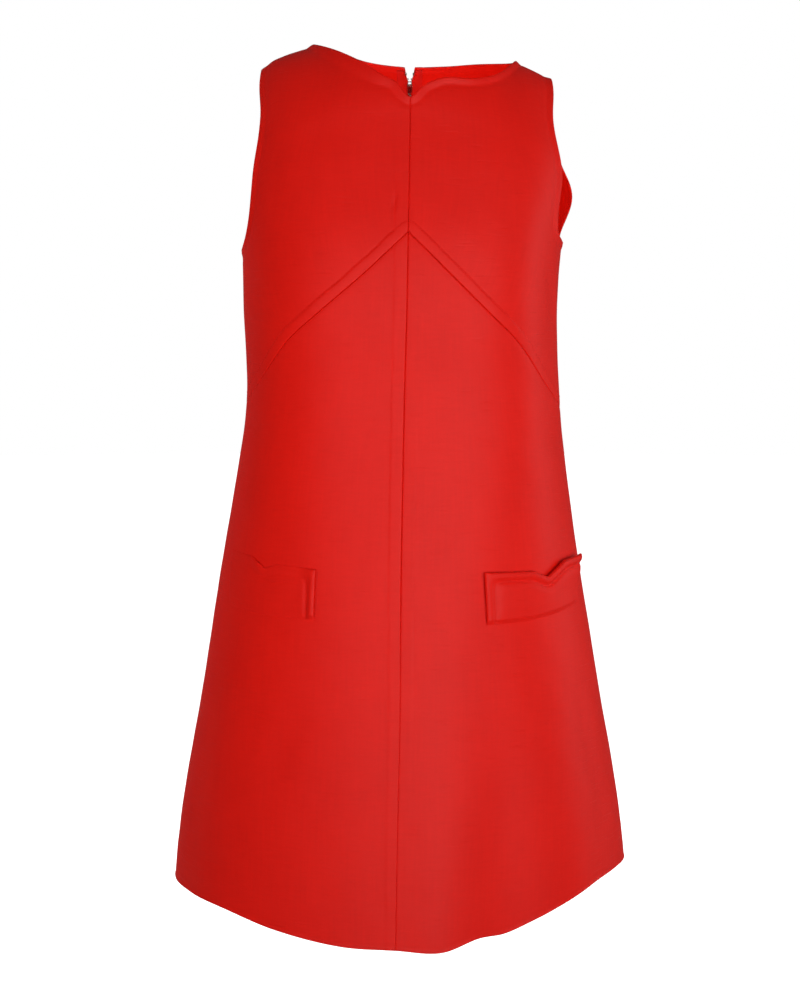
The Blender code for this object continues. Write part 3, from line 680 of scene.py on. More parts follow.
# %% Node groups
def yarn_group():
    """Grain of woven yarn: Height for bumps, Tone for colour, Slub where a yarn is thicker."""
    number = "NodeSocketFloat"
    tree, ins, outs = new_group(
        "yarn grain",
        {"Vector": ("NodeSocketVector", None), "Yarns": (number, 1700.0), "Slubs": (number, 1.0)},
        {"Height": (number, None), "Tone": (number, None), "Slub": (number, None)})
    per_metre = add(tree, "ShaderNodeVectorMath", {0: ins.outputs["Vector"]}, operation="SCALE")
    tree.links.new(ins.outputs["Yarns"], per_metre.inputs["Scale"])
    yarns = per_metre.outputs[0]
    pebbles = stretched_noise(tree, yarns, 0.9, 1.1, 1.5)
    weft = stretched_noise(tree, yarns, 0.16, 1.5)
    warp = stretched_noise(tree, yarns, 1.5, 0.16)
    threads = calc(tree, "ADD", calc(tree, "MULTIPLY", weft, 0.35), calc(tree, "MULTIPLY", warp, 0.25))
    rare = remap(tree, stretched_noise(tree, ins.outputs["Vector"], 38.0, 640.0), 0.63, 0.72)
    slub = calc(tree, "MULTIPLY", rare, ins.outputs["Slubs"])
    height = calc(tree, "ADD", calc(tree, "MULTIPLY_ADD", pebbles, 0.4, threads),
                  calc(tree, "MULTIPLY", slub, 0.55))
    cloud = stretched_noise(tree, ins.outputs["Vector"], 16.0, 11.0, 3.0)
    streaks = calc(tree, "ADD", stretched_noise(tree, ins.outputs["Vector"], 60.0, 420.0, 2.0),
                   stretched_noise(tree, ins.outputs["Vector"], 330.0, 22.0, 2.0))
    tone = calc(tree, "MULTIPLY_ADD", height, 0.35, calc(tree, "MULTIPLY", cloud, 0.30))
    tone = calc(tree, "MULTIPLY_ADD", streaks, 0.175, tone)
    for name, socket in (("Height", height), ("Tone", tone), ("Slub", slub)):
        tree.links.new(socket, outs.inputs[name])
    return tree


def handling_group():
    """What handling leaves on metal: Rub, fine scratches along it, and Smudge, soft dull clouds."""
    tree, ins, outs = new_group(
        "handled metal", {"Scale": ("NodeSocketFloat", 1.0)},
        {"Rub": ("NodeSocketFloat", None), "Smudge": ("NodeSocketFloat", None)})
    place = add(tree, "ShaderNodeTexCoord").outputs["Object"]
    sized = add(tree, "ShaderNodeVectorMath", {0: place}, operation="SCALE")
    tree.links.new(ins.outputs["Scale"], sized.inputs["Scale"])
    scratches = stretched_noise(tree, sized.outputs[0], 9000.0, 900.0, 2.0)
    tree.links.new(remap(tree, scratches, 0.55, 0.75), outs.inputs["Rub"])
    clouds = stretched_noise(tree, sized.outputs[0], 700.0, 700.0, 2.0)
    tree.links.new(clouds, outs.inputs["Smudge"])
    return tree


YARN = yarn_group()
HANDLING = handling_group()


# %% Cloth materials
def cloth_material(name, deep, bright, yarns, slubs, bump, roughness, sheen):
    """Woven cloth: two close tones mixed by the yarn grain, its bumps, and a fibre sheen."""
    made, tree, shader = new_material(name)
    threads = add(tree, "ShaderNodeUVMap", uv_map="UVMap").outputs["UV"]
    grain = add(tree, "ShaderNodeGroup", {"Vector": threads, "Yarns": yarns, "Slubs": slubs},
                node_tree=YARN)
    tone = remap(tree, grain.outputs["Tone"], 0.30, 0.72)
    tone = calc(tree, "MULTIPLY_ADD", grain.outputs["Slub"], -0.50, tone)
    tree.links.new(two_tones(tree, tone, deep, bright), shader.inputs["Base Color"])
    rough = remap(tree, grain.outputs["Height"], 0.3, 0.8, roughness + 0.06, roughness - 0.06)
    tree.links.new(rough, shader.inputs["Roughness"])
    bumps = add(tree, "ShaderNodeBump", {"Strength": bump, "Distance": 0.25 * MM,
                                         "Height": grain.outputs["Height"]})
    tree.links.new(bumps.outputs[0], shader.inputs["Normal"])
    for socket, value in (("Specular IOR Level", 0.27), ("Sheen Weight", sheen),
                          ("Sheen Roughness", 0.45), ("Sheen Tint", (1.0, 0.42, 0.36, 1))):
        shader.inputs[socket].default_value = value
    return made


def metal_material(name, base, roughness):
    """Plated metal: scratches dull it a little, and smudges shift its tone."""
    made, tree, shader = new_material(name)
    marks = add(tree, "ShaderNodeGroup", {"Scale": 1.0}, node_tree=HANDLING)
    dull = [0.86 * part for part in base]
    tree.links.new(two_tones(tree, marks.outputs["Smudge"], dull, base), shader.inputs["Base Color"])
    tree.links.new(remap(tree, marks.outputs["Rub"], 0, 1, roughness, roughness + 0.18),
                   shader.inputs["Roughness"])
    bumps = add(tree, "ShaderNodeBump", {"Strength": 0.25, "Distance": 0.05 * MM,
                                         "Height": marks.outputs["Rub"]})
    tree.links.new(bumps.outputs[0], shader.inputs["Normal"])
    shader.inputs["Metallic"].default_value = 1.0
    return made


CREPE = cloth_material("wool_crepe", (0.72, 0.0050, 0.0012), (0.88, 0.0085, 0.0028),
                       yarns=1500.0, slubs=1.0, bump=0.60, roughness=0.50, sheen=0.012)
TAPE = cloth_material("zip_tape_weave", (0.58, 0.005, 0.003), (0.76, 0.010, 0.006),
                      yarns=2200.0, slubs=0.0, bump=0.8, roughness=0.75, sheen=0.02)
THREAD = cloth_material("sewing_thread", (0.70, 0.007, 0.004), (0.90, 0.016, 0.010),
                        yarns=5200.0, slubs=0.0, bump=0.6, roughness=0.45, sheen=0.04)
NICKEL = metal_material("nickel_plate", (0.74, 0.71, 0.65), 0.20)
TOOTH_METAL = metal_material("zip_teeth_metal", (0.70, 0.66, 0.58), 0.28)

# %% [markdown]
# ## The panels
#
# Both faces of the cloth move together for what bends it: creases, the slight unevenness of any
# hung cloth, and the free edges that stand away. Only the outer face moves for what is sewn into
# it: rolled seams and pressed bands. So the inside, seen through the neck, stays plain.

# %% Where the pressed lines run
PRESS_COLUMNS = ("height", "width", "left", "right")   # of the middle seam's bands
PRESS = (
    (-0.060, 11.0 * MM, 0.05, 0.00),
    (-0.120, 12.0 * MM, 0.25, 0.10),
    (-0.160, 12.6 * MM, 0.80, 0.25),
    (-0.220, 12.6 * MM, 0.80, 0.35),
    (-0.340, 12.4 * MM, 0.90, 0.25),
    (-0.450, 12.0 * MM, 1.15, 0.75),
    (-0.560, 11.6 * MM, 0.80, 0.80),
    (-0.650, 11.0 * MM, 0.75, 0.45),
    (-0.850, 10.2 * MM, 0.70, 0.40),
)
CHEVRON_BAND = 10.0 * MM             # width of the band above the slanting seam
CHEVRON_STRENGTH = {LEFT: 1.7, RIGHT: 1.25}
HEM_ALLOWANCE = 38 * MM
HEM_STRENGTH = 0.35
ZIP_END = -0.500                     # height of the zip's lower end
ZIP_STITCH = 8.0 * MM                # from the back seam to the stitches that hold the tape
ZIP_STRENGTH = 0.60
SLIDER_HEIGHT = -0.0290

# %% How far edges stand out and seams roll in
UNEVENNESS = 0.7 * MM                # height of the slow waves
# Width over which a turned edge stands out, and how far
NECK_TURN, ARMHOLE_TURN, HEM_TURN = (7.5 * MM, 1.7 * MM), (8.5 * MM, 1.3 * MM), (4.0 * MM, 0.5 * MM)
# Stretches of the front neck edge that turn more: side, X, reach, by how much wider and higher
NECK_SWELLS = (
    (LEFT, -0.050, 0.030, 9.5 * MM, 0.0),
    (LEFT, -0.030, 0.040, 0.0, 1.3 * MM),
    (RIGHT, 0.045, 0.045, 0.0, 0.7 * MM),
)
RIM_RADIUS = 1.5 * MM
RIM_CLOSES = 0.44                    # share of the wall by which each face closes in at a rim
SEAM_STRENGTH = {"middle": 0.90, "shoulder": 0.55, "side": 0.90, "chevron": 0.90}


def neck_turn(side, face, points, distance):
    """How the neck edge stands out: a turned edge, swollen where the table says."""
    width, lift = NECK_TURN
    for swollen_side, x, reach, wider, higher in NECK_SWELLS:
        if face == FRONT and side == swollen_side:
            swell = bell((points[..., 0] - x) / reach)
            width, lift = width + wider * swell, lift + higher * swell
    return turned_edge(distance, width, lift)


def both_faces(side, face, points, degrees, z, lines):
    """Height that bends the whole cloth: creases, unevenness and standing edges.

    Both die down round the slider, where the zip holds the cloth flat.
    """
    rise = crease_rise(face, side * degrees, z) + UNEVENNESS * slow_waves(points, seed=7)
    if face == BACK:
        rise = rise * (1 - bell((z - SLIDER_HEIGHT) / 0.04) * bell(degrees / 14))
    if "neck" in lines:
        rise = rise + neck_turn(side, face, points, distance_to_line(points, lines["neck"]))
        rise = rise + turned_edge(distance_to_line(points, lines["armhole"]), *ARMHOLE_TURN)
    if "hem" in lines:
        rise = rise + turned_edge(distance_to_line(points, lines["hem"]), *HEM_TURN)
    return rise


def folded_rim(distance):
    """How far each face closes in at a folded edge: a quarter circle, so the rim is round."""
    return RIM_CLOSES * CLOTH * quarter_circle(distance, RIM_RADIUS)


def seam_strength(seam, side, points, z):
    """How deep a seam has rolled in. The slanting one fades on the left, the middle one downwards."""
    if seam == "chevron" and side == LEFT:
        return 0.85 - 0.65 * ease((-points[..., 0] - 0.112) / 0.035)
    if seam == "middle":
        return SEAM_STRENGTH[seam] - 0.50 * ease((-0.50 - z) / 0.12)
    return SEAM_STRENGTH[seam]


def middle_band(side, face, z):
    """Width and strength of the band beside the middle seam. On the back it ends with the zip."""
    if face == BACK:
        return ZIP_STITCH, ZIP_STRENGTH * ease((z - ZIP_END) / (4 * MM))
    return [read(PRESS, PRESS_COLUMNS, "height", name, z) for name in ("width", side_name(side))]


def sewn_marks(side, face, points, z, lines):
    """Height of the outer face alone, and the distances to lines that stitches need later."""
    rise = 0
    found = {}
    for seam in ("middle", "shoulder", "side", "chevron"):
        if seam in lines:
            found[seam] = distance_to_line(points, lines[seam])
            rise = rise + rolled_in(found[seam], seam_strength(seam, side, points, z))
    width, strength = middle_band(side, face, z)
    plateau, dimples = pressed_band(found["middle"], z, strength, width, seed=1.7 + side)
    found["press"] = found["middle"] - width
    if "band" in lines:
        fade = 1 - 0.9 * ease((np.abs(points[..., 0]) - 0.100) / 0.045)
        band, dents = pressed_band(found["chevron"], lengths_along(points, 1),
                                   CHEVRON_STRENGTH[side] * fade, CHEVRON_BAND, seed=2.3 * side)
        dimples = dimples * ease(found["chevron"] / CHEVRON_BAND - 1)
        dimples = dimples + dents * ease((found["middle"] - width + 2 * MM) / (2 * MM))
        plateau = np.maximum(plateau, band)
        found["band"] = found["chevron"] - CHEVRON_BAND
    if "hem" in lines:
        found["hem"] = distance_to_line(points, lines["hem"], spacing=4 * MM)
        fold, dents = pressed_band(found["hem"], lengths_along(points, 1), HEM_STRENGTH,
                                   HEM_ALLOWANCE, seed=4.0)
        plateau, dimples = np.maximum(plateau, fold), dimples + dents
    return rise + plateau - dimples, found


# %% Sew one panel
def sew(name, side, face, degrees, z, lines):
    """Build a panel from its angles and heights. lines names stretches of its outline.

    The cloth's two faces are the surface plus both_faces(), and the surface a wall further in.
    sewn_marks() is added to the outer face, and both close in at free edges. Panels meet edge to
    edge at a seam, so no light comes through it.
    """
    base = body_point(side, face, degrees, z)
    normal = surface_normals(side, face, degrees, z)
    lines = {key: base[where].reshape(-1, 3) for key, where in lines.items()}
    shared = both_faces(side, face, base, degrees, z, lines)
    marks, distances = sewn_marks(side, face, base, z, lines)
    rim = sum(folded_rim(distance_to_line(base, lines[key]))
              for key in ("neck", "armhole", "hem") if key in lines)
    outer = base + normal * (shared + marks - rim)[..., None]
    inner = base + normal * (shared - CLOTH + rim)[..., None]
    down = lengths_along(base, 0)
    uv = np.stack([side * lengths_along(base, 1), base[-1:, :, 2] + down[-1:] - down], -1)
    piece = closed_shell(name, outer, inner, uv, CREPE)
    width, length, area = flat_size(base)
    print(f"{name}: {outer.shape[0]} rows, {outer.shape[1]} columns, "
          f"{width:.3f} x {length:.3f} m flat, {area:.4f} square metres")
    return {"piece": piece, "outer": outer, "normal": normal, "distances": distances,
            "lines": lines, "flat": (width, length, area)}


# %% The front bodice, in two halves
def front_bodice(side):
    """From the neck edge and the shoulder down to the slanting seam, which has a raised band."""
    across, neck_column = columns_across(side, FRONT, 150)
    above = crowded(96, *TOP_CROWDS)
    below = crowded(66, (1.0, 0.02, 7), (0.90, 0.10, 1.5))
    degrees, z = upper_grid(side, FRONT, across, above, below,
                            lambda share: chevron_height(side, share))
    lines = upper_lines(neck_column, above)
    lines["chevron"] = lines["band"] = np.s_[-1, :]
    return sew(f"crepe_bodice_{side_name(side)}", side, FRONT, degrees, z, lines)


# %% The front skirt, in two halves
def front_skirt(side):
    """From the slanting seam down to the hem."""
    across, _ = columns_across(side, FRONT, 140)
    down = crowded(170, (0.0, 0.008, 8), (1.0, 0.008, 6), (0.94, 0.02, 1.0))[:, None]
    z = chevron_height(side, across) * (1 - down) + hem_height(side, FRONT, across) * down
    lines = {"middle": np.s_[:, 0], "chevron": np.s_[0, :], "side": np.s_[:, -1],
             "hem": np.s_[-1, :]}
    return sew(f"crepe_skirt_{side_name(side)}", side, FRONT, 90.0 * across + 0 * z, z, lines)


# %% [markdown]
# The back is cut in one from neck to hem. Its middle edges part in a narrow V above the zip's
# slider, so its first columns are drawn aside there, and the next ones share the shift.

# %% The gap above the zip
NECK_BACK = float(top_height(RIGHT, BACK, np.array(0.0)))   # height of the neck at the back seam
GAP_TOP = 5.0 * MM        # half the gap at the neck edge
GAP_THROAT = 1.5 * MM     # and in its throat, round the slider's bridge
THROAT_TOP = -0.0255
THROAT_BOTTOM = -0.0330
GAP_END = -0.0480
GAP_SHARE = 0.065         # columns up to this share of the way across share the shift


def gap_half_width(z):
    """Half the gap between the back panels: a V at the neck, a throat, then none."""
    return np.interp(z, [GAP_END, THROAT_BOTTOM, THROAT_TOP, NECK_BACK],
                     [0, GAP_THROAT, GAP_THROAT, GAP_TOP])


def degrees_beside_middle(side, z, distance):
    """Angle round the back that lies a distance from its middle seam."""
    return np.degrees(distance / np.abs(side_x(side, BACK, z) - section("centre", z)))


# %% The back, in two halves
def back_panel(side):
    """From the neck edge and the shoulder down to the hem."""
    across, neck_column = columns_across(side, BACK, 140)
    above = crowded(84, *TOP_CROWDS)
    below = crowded(150, (1.0, 0.008, 7))
    degrees, z = upper_grid(side, BACK, across, above, below,
                            lambda share: hem_height(side, BACK, share))
    shift = degrees_beside_middle(side, z, gap_half_width(z))
    degrees = degrees + shift * np.clip(1 - across / GAP_SHARE, 0, 1)
    lines = {**upper_lines(neck_column, above), "hem": np.s_[-1, :]}
    return sew(f"crepe_back_{side_name(side)}", side, BACK, degrees, z, lines)


bodices = {side: front_bodice(side) for side in (LEFT, RIGHT)}
skirts = {side: front_skirt(side) for side in (LEFT, RIGHT)}
backs = {side: back_panel(side) for side in (LEFT, RIGHT)}


# %% [markdown]
# ## The pocket welts
#
# Each welt is a stiff, padded flap sewn on over the skirt: turned under all round, thicker where
# the turned edge lies behind it, with a groove where that edge ends. Its upper edge has a notch,
# and its outer tip stands off the hip. It takes its points from the skirt's own surface, moved
# out, so it follows every fold under it.

# %% Sizes of the welts
WELT_COLUMNS = ("station", "angle_left", "top_left", "angle_right", "top_right")
WELT_TOP = (
    ("inner corner", 26.4, -0.4985, 25.7, -0.5012),
    ("before the notch", 41.0, -0.4958, 44.0, -0.5028),
    ("notch", 46.5, -0.5004, 50.0, -0.5095),
    ("top of the slope", 53.5, -0.4905, 60.0, -0.4962),
    ("outer tip", 70.0, -0.4880, 72.6, -0.4938),
)
WELT_BOTTOM = {LEFT: (-0.5455, -0.5400), RIGHT: (-0.5505, -0.5400)}   # inner and outer end
WELT_WALL = 3.4 * MM
WELT_LIFT = {LEFT: 0.0, RIGHT: 1.1 * MM}              # how far its top edge stands off
WELT_TIP_LIFT = {LEFT: 0.0, RIGHT: 4.4 * MM}          # and its outer tip, beyond that
WELT_SLANT = {LEFT: (0.65, 6.0), RIGHT: (0.0, 6.0)}   # degrees its inner and outer end lean
WELT_GAP = {LEFT: 0.15 * MM, RIGHT: 0.30 * MM}        # to the cloth behind it
WELT_RIM = {LEFT: 2.8 * MM, RIGHT: 1.9 * MM}          # how far its turned edges round off
WELT_FULLNESS = {LEFT: 0.8, RIGHT: 1.0}               # share of the wall it fills
WELT_CROWN = {LEFT: 0.5, RIGHT: 1.0}                  # share of the crown's height it has
WELT_TOP_PUFF = {LEFT: 0.10, RIGHT: 1.0}              # padding of its top edge, as a share


# %% The welt's grid
def welt_top(side, quantity):
    """Angle or top height of a welt, straight from station to station, at each of its columns."""
    places = crowded(110, (0.0, 0.03, 5), (0.5, 0.06, 2), (1.0, 0.03, 4)) * (len(WELT_TOP) - 1)
    knots = table_column(WELT_TOP, WELT_COLUMNS, f"{quantity}_{side_name(side)}")
    return np.interp(places, range(len(WELT_TOP)), knots)[None, :]


def welt_grid(side):
    """Angles, heights and lift of a welt, from its bottom row up to its notched top edge."""
    angle, top = welt_top(side, "angle"), welt_top(side, "top")
    along = (angle - angle[0, 0]) / (angle[0, -1] - angle[0, 0])
    inner_end, outer_end = WELT_BOTTOM[side]
    bottom = inner_end + (outer_end - inner_end) * along ** 2
    up = crowded(70, (0.0, 0.03, 3), (1.0, 0.04, 6))[:, None]
    tip = ease((up - 0.25) / 0.75) * ease((along - 0.45) / 0.55)
    lift = WELT_LIFT[side] * ease(up) + WELT_TIP_LIFT[side] * tip
    inner_lean, outer_lean = WELT_SLANT[side]
    lean = (inner_lean + (outer_lean - inner_lean) * along) * (1 - up)
    return angle - lean, bottom + (top - bottom) * up, lift


# %% Its padding
CORNER_REACH = 3.0 * MM                        # over which the inner and top edges run into one
PAD = (0.85 * MM, 3.6 * MM, 3.4 * MM)          # rise, distance from the edge, and reach
GROOVE = (-1.30 * MM, 8.6 * MM, 1.8 * MM)      # the same, inside the pad
CROWN_RISE, CROWN_START, CROWN_RUN = 0.9 * MM, 9 * MM, 8 * MM
LEFT_FLAT = (0.75, 0.64, 0.2)                  # how flat the left one's tip is, from where, over what
BOTTOM_WALL = 0.42                             # share of the wall at the bottom edge
LEFT_LEAST_WALL = 0.16                         # share of the left one's wall where it lies flattest
RIM_TURN = 0.94                                # share of the wall that closes at the rim


def welt_padding(side, inner, top, bottom, flattened):
    """Height of the front face over its wall: a pad along the inner and top edges, a groove
    inside it, and a crown beyond that. inner, top and bottom are distances to those edges.

    The distance to both edges at once is minus a reach times the logarithm of e^(-inner / reach)
    + e^(-top / reach), which rounds the corner between them.
    """
    near_inner, near_top = np.exp(-inner / CORNER_REACH), np.exp(-top / CORNER_REACH)
    turned = -CORNER_REACH * np.log(near_inner + near_top)
    share = near_inner / (near_inner + near_top)
    puff = (share + (1 - share) * WELT_TOP_PUFF[side]) * (1 - flattened)
    pad, groove = (rise * puff * bell((turned - place) / reach) for rise, place, reach in (PAD, GROOVE))
    crown = CROWN_RISE * WELT_CROWN[side] * ease((turned - CROWN_START) / CROWN_RUN)
    return pad + groove * ease(bottom / (3 * MM)) + crown * ease(bottom / (16 * MM))


def left_welt_stands(inner, top, along):
    """How far the left welt stands out, 0 to 1: at its inner end, and under the slope's top."""
    slope_top = 0.6 * bell((along - 0.57) / 0.08) * bell(top / (9 * MM))
    return np.clip(bell(inner / (12 * MM)) + slope_top, 0, 1)


# %% Sew a welt
def sew_welt(side):
    """A flap over the skirt: a back face near the cloth, and a padded front face a wall further
    out. Both close towards each other along a quarter circle at the edges."""
    degrees, z, lift = welt_grid(side)
    cloth = body_point(side, FRONT, degrees, z)
    normal = surface_normals(side, FRONT, degrees, z)
    follow = both_faces(side, FRONT, cloth, degrees, z, ())
    inner, top, outer_end, bottom = (distance_to_line(cloth, line) for line in
                                     (cloth[:, 0], cloth[-1], cloth[:, -1], cloth[0]))
    across, up = lengths_along(cloth, 1), lengths_along(cloth, 0)
    along = across / across[:, -1:]
    wall = WELT_FULLNESS[side] * WELT_WALL * (BOTTOM_WALL + (1 - BOTTOM_WALL) * ease(bottom / (5 * MM)))
    proud, flattened = 1.0, 0.0
    if side == LEFT:
        proud = left_welt_stands(inner, top, along)
        flattened = LEFT_FLAT[0] * ease((along - LEFT_FLAT[1]) / LEFT_FLAT[2])
        wall = wall * (LEFT_LEAST_WALL + (1 - LEFT_LEAST_WALL) * proud) * (1 - flattened)
    edge = np.minimum(np.minimum(inner, top), np.minimum(outer_end, bottom + 0.8 * MM))
    turn = RIM_TURN * wall * quarter_circle(edge, WELT_RIM[side])
    foot = WELT_GAP[side] + lift + follow
    apart = np.array([side * SEAM_GAP / 2, -WELT_GAP[side] / 2, 0])
    padding = welt_padding(side, inner, top, bottom, flattened)
    back_face = cloth + apart + normal * (foot + 0.5 * proud * turn)[..., None]
    front_face = cloth + apart + normal * (foot + wall + padding - (1 - 0.5 * proud) * turn)[..., None]
    piece = closed_shell(f"welt_{side_name(side)}", front_face, back_face,
                         np.stack([side * across, up + 0.37], -1), CREPE)
    print(f"welt {side_name(side)}: {across.max():.4f} m along, {up.max():.4f} m high")
    return {"piece": piece, "flat": flat_size(cloth)}


welts = {side: sew_welt(side) for side in (LEFT, RIGHT)}

# %% [markdown]
# ## The zip
#
# Two woven tapes lie inside the back, each with a row of metal teeth on its edge. Below the slider
# the rows mesh; above it they part, and they end at two top stops under the neck edge. A tooth is
# under two millimetres wide and there are hundreds, so each is one small block with round corners,
# and numpy places all of them at once: a table of positions and turned axes times the block's
# points.


# %% A block with round corners
def block_lines(half, radius, steps):
    """Places of a block's lattice lines along one axis: close together where its corners round."""
    if steps == 0:
        return np.array([-half, 0.0, half])
    turn = radius * np.tan(np.radians(np.linspace(0, 45, steps + 1)))
    middle = np.linspace(radius - half, half - radius, 4)[1:-1]
    ends = half - radius + turn
    return np.concatenate([-ends[::-1], middle, ends])


def block_side(half, lines, axis, sign):
    """Lattice points of one side of a box, turned so that its faces point outwards."""
    second_axis, third_axis = (axis + 1) % 3, (axis + 2) % 3
    second, third = np.meshgrid(lines[second_axis], lines[third_axis], indexing="ij")
    grid = np.zeros(second.shape + (3,))
    grid[..., axis], grid[..., second_axis], grid[..., third_axis] = sign * half[axis], second, third
    return grid if sign > 0 else grid[::-1]


def rounded_block(size, radius, steps=0):
    """A box whose corners are rounded: each lattice point keeps a radius from the shrunken box.

    The points that two or three sides share are merged into one.
    """
    half = np.asarray(size) / 2
    lines = [block_lines(length, radius, steps) for length in half]
    sides = [block_side(half, lines, axis, sign) for axis in range(3) for sign in (-1, 1)]
    starts = np.cumsum([0] + [side[..., 0].size for side in sides[:-1]])
    faces = np.concatenate([grid_faces(start + grid_numbers(side.shape))
                            for start, side in zip(starts, sides)])
    points = np.concatenate([side.reshape(-1, 3) for side in sides])
    _, first_of, number = np.unique(np.round(points * 1e7).astype(int), axis=0,
                                    return_index=True, return_inverse=True)
    points = points[first_of]
    core = np.clip(points, radius - half, half - radius)
    return core + radius * unit(points - core), number.ravel()[faces]


def many(block, places, axes):
    """Points and faces of a block set at many places, each turned to its own three axes."""
    points, faces = block
    turned = np.einsum("pk,nkj->npj", points, axes) + places[:, None, :]
    shifts = np.arange(len(places))[:, None, None] * len(points)
    return turned.reshape(-1, 3), (faces[None] + shifts).reshape(-1, faces.shape[1])


def small_piece(name, parts, material):
    """One mesh from several (points, faces) pairs, with UVs in metres from its own box."""
    points = np.concatenate([part[0] for part in parts])
    starts = np.cumsum([0] + [len(part[0]) for part in parts[:-1]])
    faces = np.concatenate([part[1] + start for part, start in zip(parts, starts)])
    uvs = np.stack([points[:, 0] + 0.3 * points[:, 1], points[:, 2]], -1)
    return mesh_piece(name, points, faces, uvs, material)


# %% Places beside the middle of the back
def middle_back(offset_x, z, depth):
    """Points beside the centre back, a distance from it, moved in from the cloth's outer face."""
    offset_x, z, depth = np.broadcast_arrays(np.asarray(offset_x, float), z, depth)
    points = []
    for side in (LEFT, RIGHT):
        degrees = degrees_beside_middle(side, z, np.abs(offset_x))
        cloth = body_point(side, BACK, degrees, z)
        rise = both_faces(side, BACK, cloth, degrees, z, backs[side]["lines"])
        points.append(cloth + surface_normals(side, BACK, degrees, z) * (rise - depth)[..., None])
    return np.where((offset_x < 0)[..., None], points[0], points[1]) + np.array([0, SEAM_GAP / 2, 0])


def zip_axes(z, depth):
    """For each height, the zip's axes: across it, out from the cloth, and up along the chain."""
    up = middle_back(1e-6, z + 0.5 * MM, depth) - middle_back(1e-6, z - 0.5 * MM, depth)
    up[:, 0] = 0
    up = unit(up)
    across = np.broadcast_to([1.0, 0.0, 0.0], up.shape)
    return np.stack([across, np.cross(up, across), up], 1)


# %% Tapes
TAPE_WALL = 0.6 * MM
TAPE_WIDTH = 13.0 * MM
CHAIN_WIDTH = 4.2 * MM
CHAIN_WALL = 1.5 * MM
CHAIN_DEPTH = 3.4 * MM    # of the chain's outer face, inwards from the cloth's
SLIDER_WIDTH = 5.0 * MM
SLIDER_LENGTH = 8.0 * MM
SLIDER_TOP = SLIDER_HEIGHT + SLIDER_LENGTH / 2 + SEAM_GAP
ROWS_MEET = -0.0215       # where the parted rows have come together above the slider


def row_offset(z):
    """Distance of a parted row of teeth from the middle: even up to where the rows part, then a V."""
    return np.interp(z, [ROWS_MEET, NECK_BACK], [1.35 * MM, GAP_TOP + 0.5 * MM])


def zip_tape(side):
    """A tape: flat on the cloth, and stepping in to the teeth."""
    z = np.linspace(NECK_BACK - 1.5 * MM, ZIP_END - 0.012, 220)[:, None]
    edge = CHAIN_WIDTH / 2 + SEAM_GAP
    beside_slider = SLIDER_WIDTH / 2 + SEAM_GAP
    below = np.interp(z, [SLIDER_HEIGHT - 0.020, SLIDER_HEIGHT - 0.006], [edge, beside_slider])
    above = np.interp(z, [SLIDER_TOP, SLIDER_TOP + 0.7 * MM], [beside_slider, 0]) + row_offset(z)
    above = np.minimum(above, np.maximum(beside_slider, row_offset(z)))
    inner_edge = np.where(z < SLIDER_TOP, below, above)
    share = np.linspace(0, 1, 15)[None, :]
    x = side * (inner_edge + share * (TAPE_WIDTH - inner_edge * share))
    at_chain = CHAIN_DEPTH + (CHAIN_WALL - TAPE_WALL) / 2
    depth = at_chain + (CLOTH + SEAM_GAP - at_chain) * ease(share / 0.22) + 0 * z
    outer, inner = middle_back(x, z, depth), middle_back(x, z, depth + TAPE_WALL)
    uv = np.stack([side * lengths_along(outer, 1), -lengths_along(outer, 0)], -1)
    piece = closed_shell(f"tape_{side_name(side)}", outer, inner, uv, TAPE)
    return {"piece": piece, "flat": flat_size(outer)}


tapes = {side: zip_tape(side) for side in (LEFT, RIGHT)}
print("tapes", [[round(v, 4) for v in tape["flat"]] for tape in tapes.values()])

# %% Teeth and stops
TOOTH_PITCH = 1.30 * MM
TOOTH_OFFSET = 0.72 * MM      # of a meshed tooth from the middle, to one side and the other in turn
TOOTH = rounded_block((2.5 * MM, CHAIN_WALL, 0.95 * MM), 0.36 * MM)
STOP = rounded_block((1.9 * MM, CHAIN_WALL + 0.5 * MM, 2.6 * MM), 0.5 * MM, steps=2)
BOTTOM_STOP = rounded_block((4.4 * MM, CHAIN_WALL + 0.4 * MM, 2.8 * MM), 0.5 * MM, steps=2)


def zip_teeth():
    """Meshed teeth below the slider, parted rows above it, two top stops and a bottom stop."""
    depth = CHAIN_DEPTH + CHAIN_WALL / 2

    def on_chain(block, offset_x, heights):
        return many(block, middle_back(offset_x, heights, depth), zip_axes(heights, depth))

    z = np.arange(SLIDER_HEIGHT - SLIDER_LENGTH / 2 - 0.6 * MM, ZIP_END + 3 * MM, -TOOTH_PITCH)
    hand = np.where(np.arange(len(z)) % 2, 1.0, -1.0)
    parts = [on_chain(TOOTH, hand * TOOTH_OFFSET, z)]
    above = np.arange(SLIDER_TOP + 0.1 * MM, NECK_BACK - 5.5 * MM, 2 * TOOTH_PITCH)
    stop, foot = np.array([NECK_BACK - 3.6 * MM]), np.array([ZIP_END + 1.4 * MM])
    for side in (LEFT, RIGHT):
        parts.append(on_chain(TOOTH, side * row_offset(above), above))
        parts.append(on_chain(STOP, side * row_offset(stop), stop))
    parts.append(on_chain(BOTTOM_STOP, 1e-6, foot))
    print("teeth:", len(z), "meshed and", 2 * len(above), "parted")
    return small_piece("teeth", parts, TOOTH_METAL)


teeth = zip_teeth()

# %% [markdown]
# The slider and its tab are made in the hinge's own frame: x along the hinge, y out from the
# cloth, z up along it. The slider is two plates joined by a wedge that parts the teeth, with a
# bridge bent out through the gap. The tab hangs by its eye from the bridge and is the one piece
# that moves. A ring of points between two outlines makes its plate, so that the eye is a true hole.

# %% The hinge's frame
HINGE_OUT = 1.25 * MM     # of the hinge, out from the cloth
TOUCH_LENGTH = 9.0 * MM   # below the hinge, where the hanging tab's end lies on the cloth


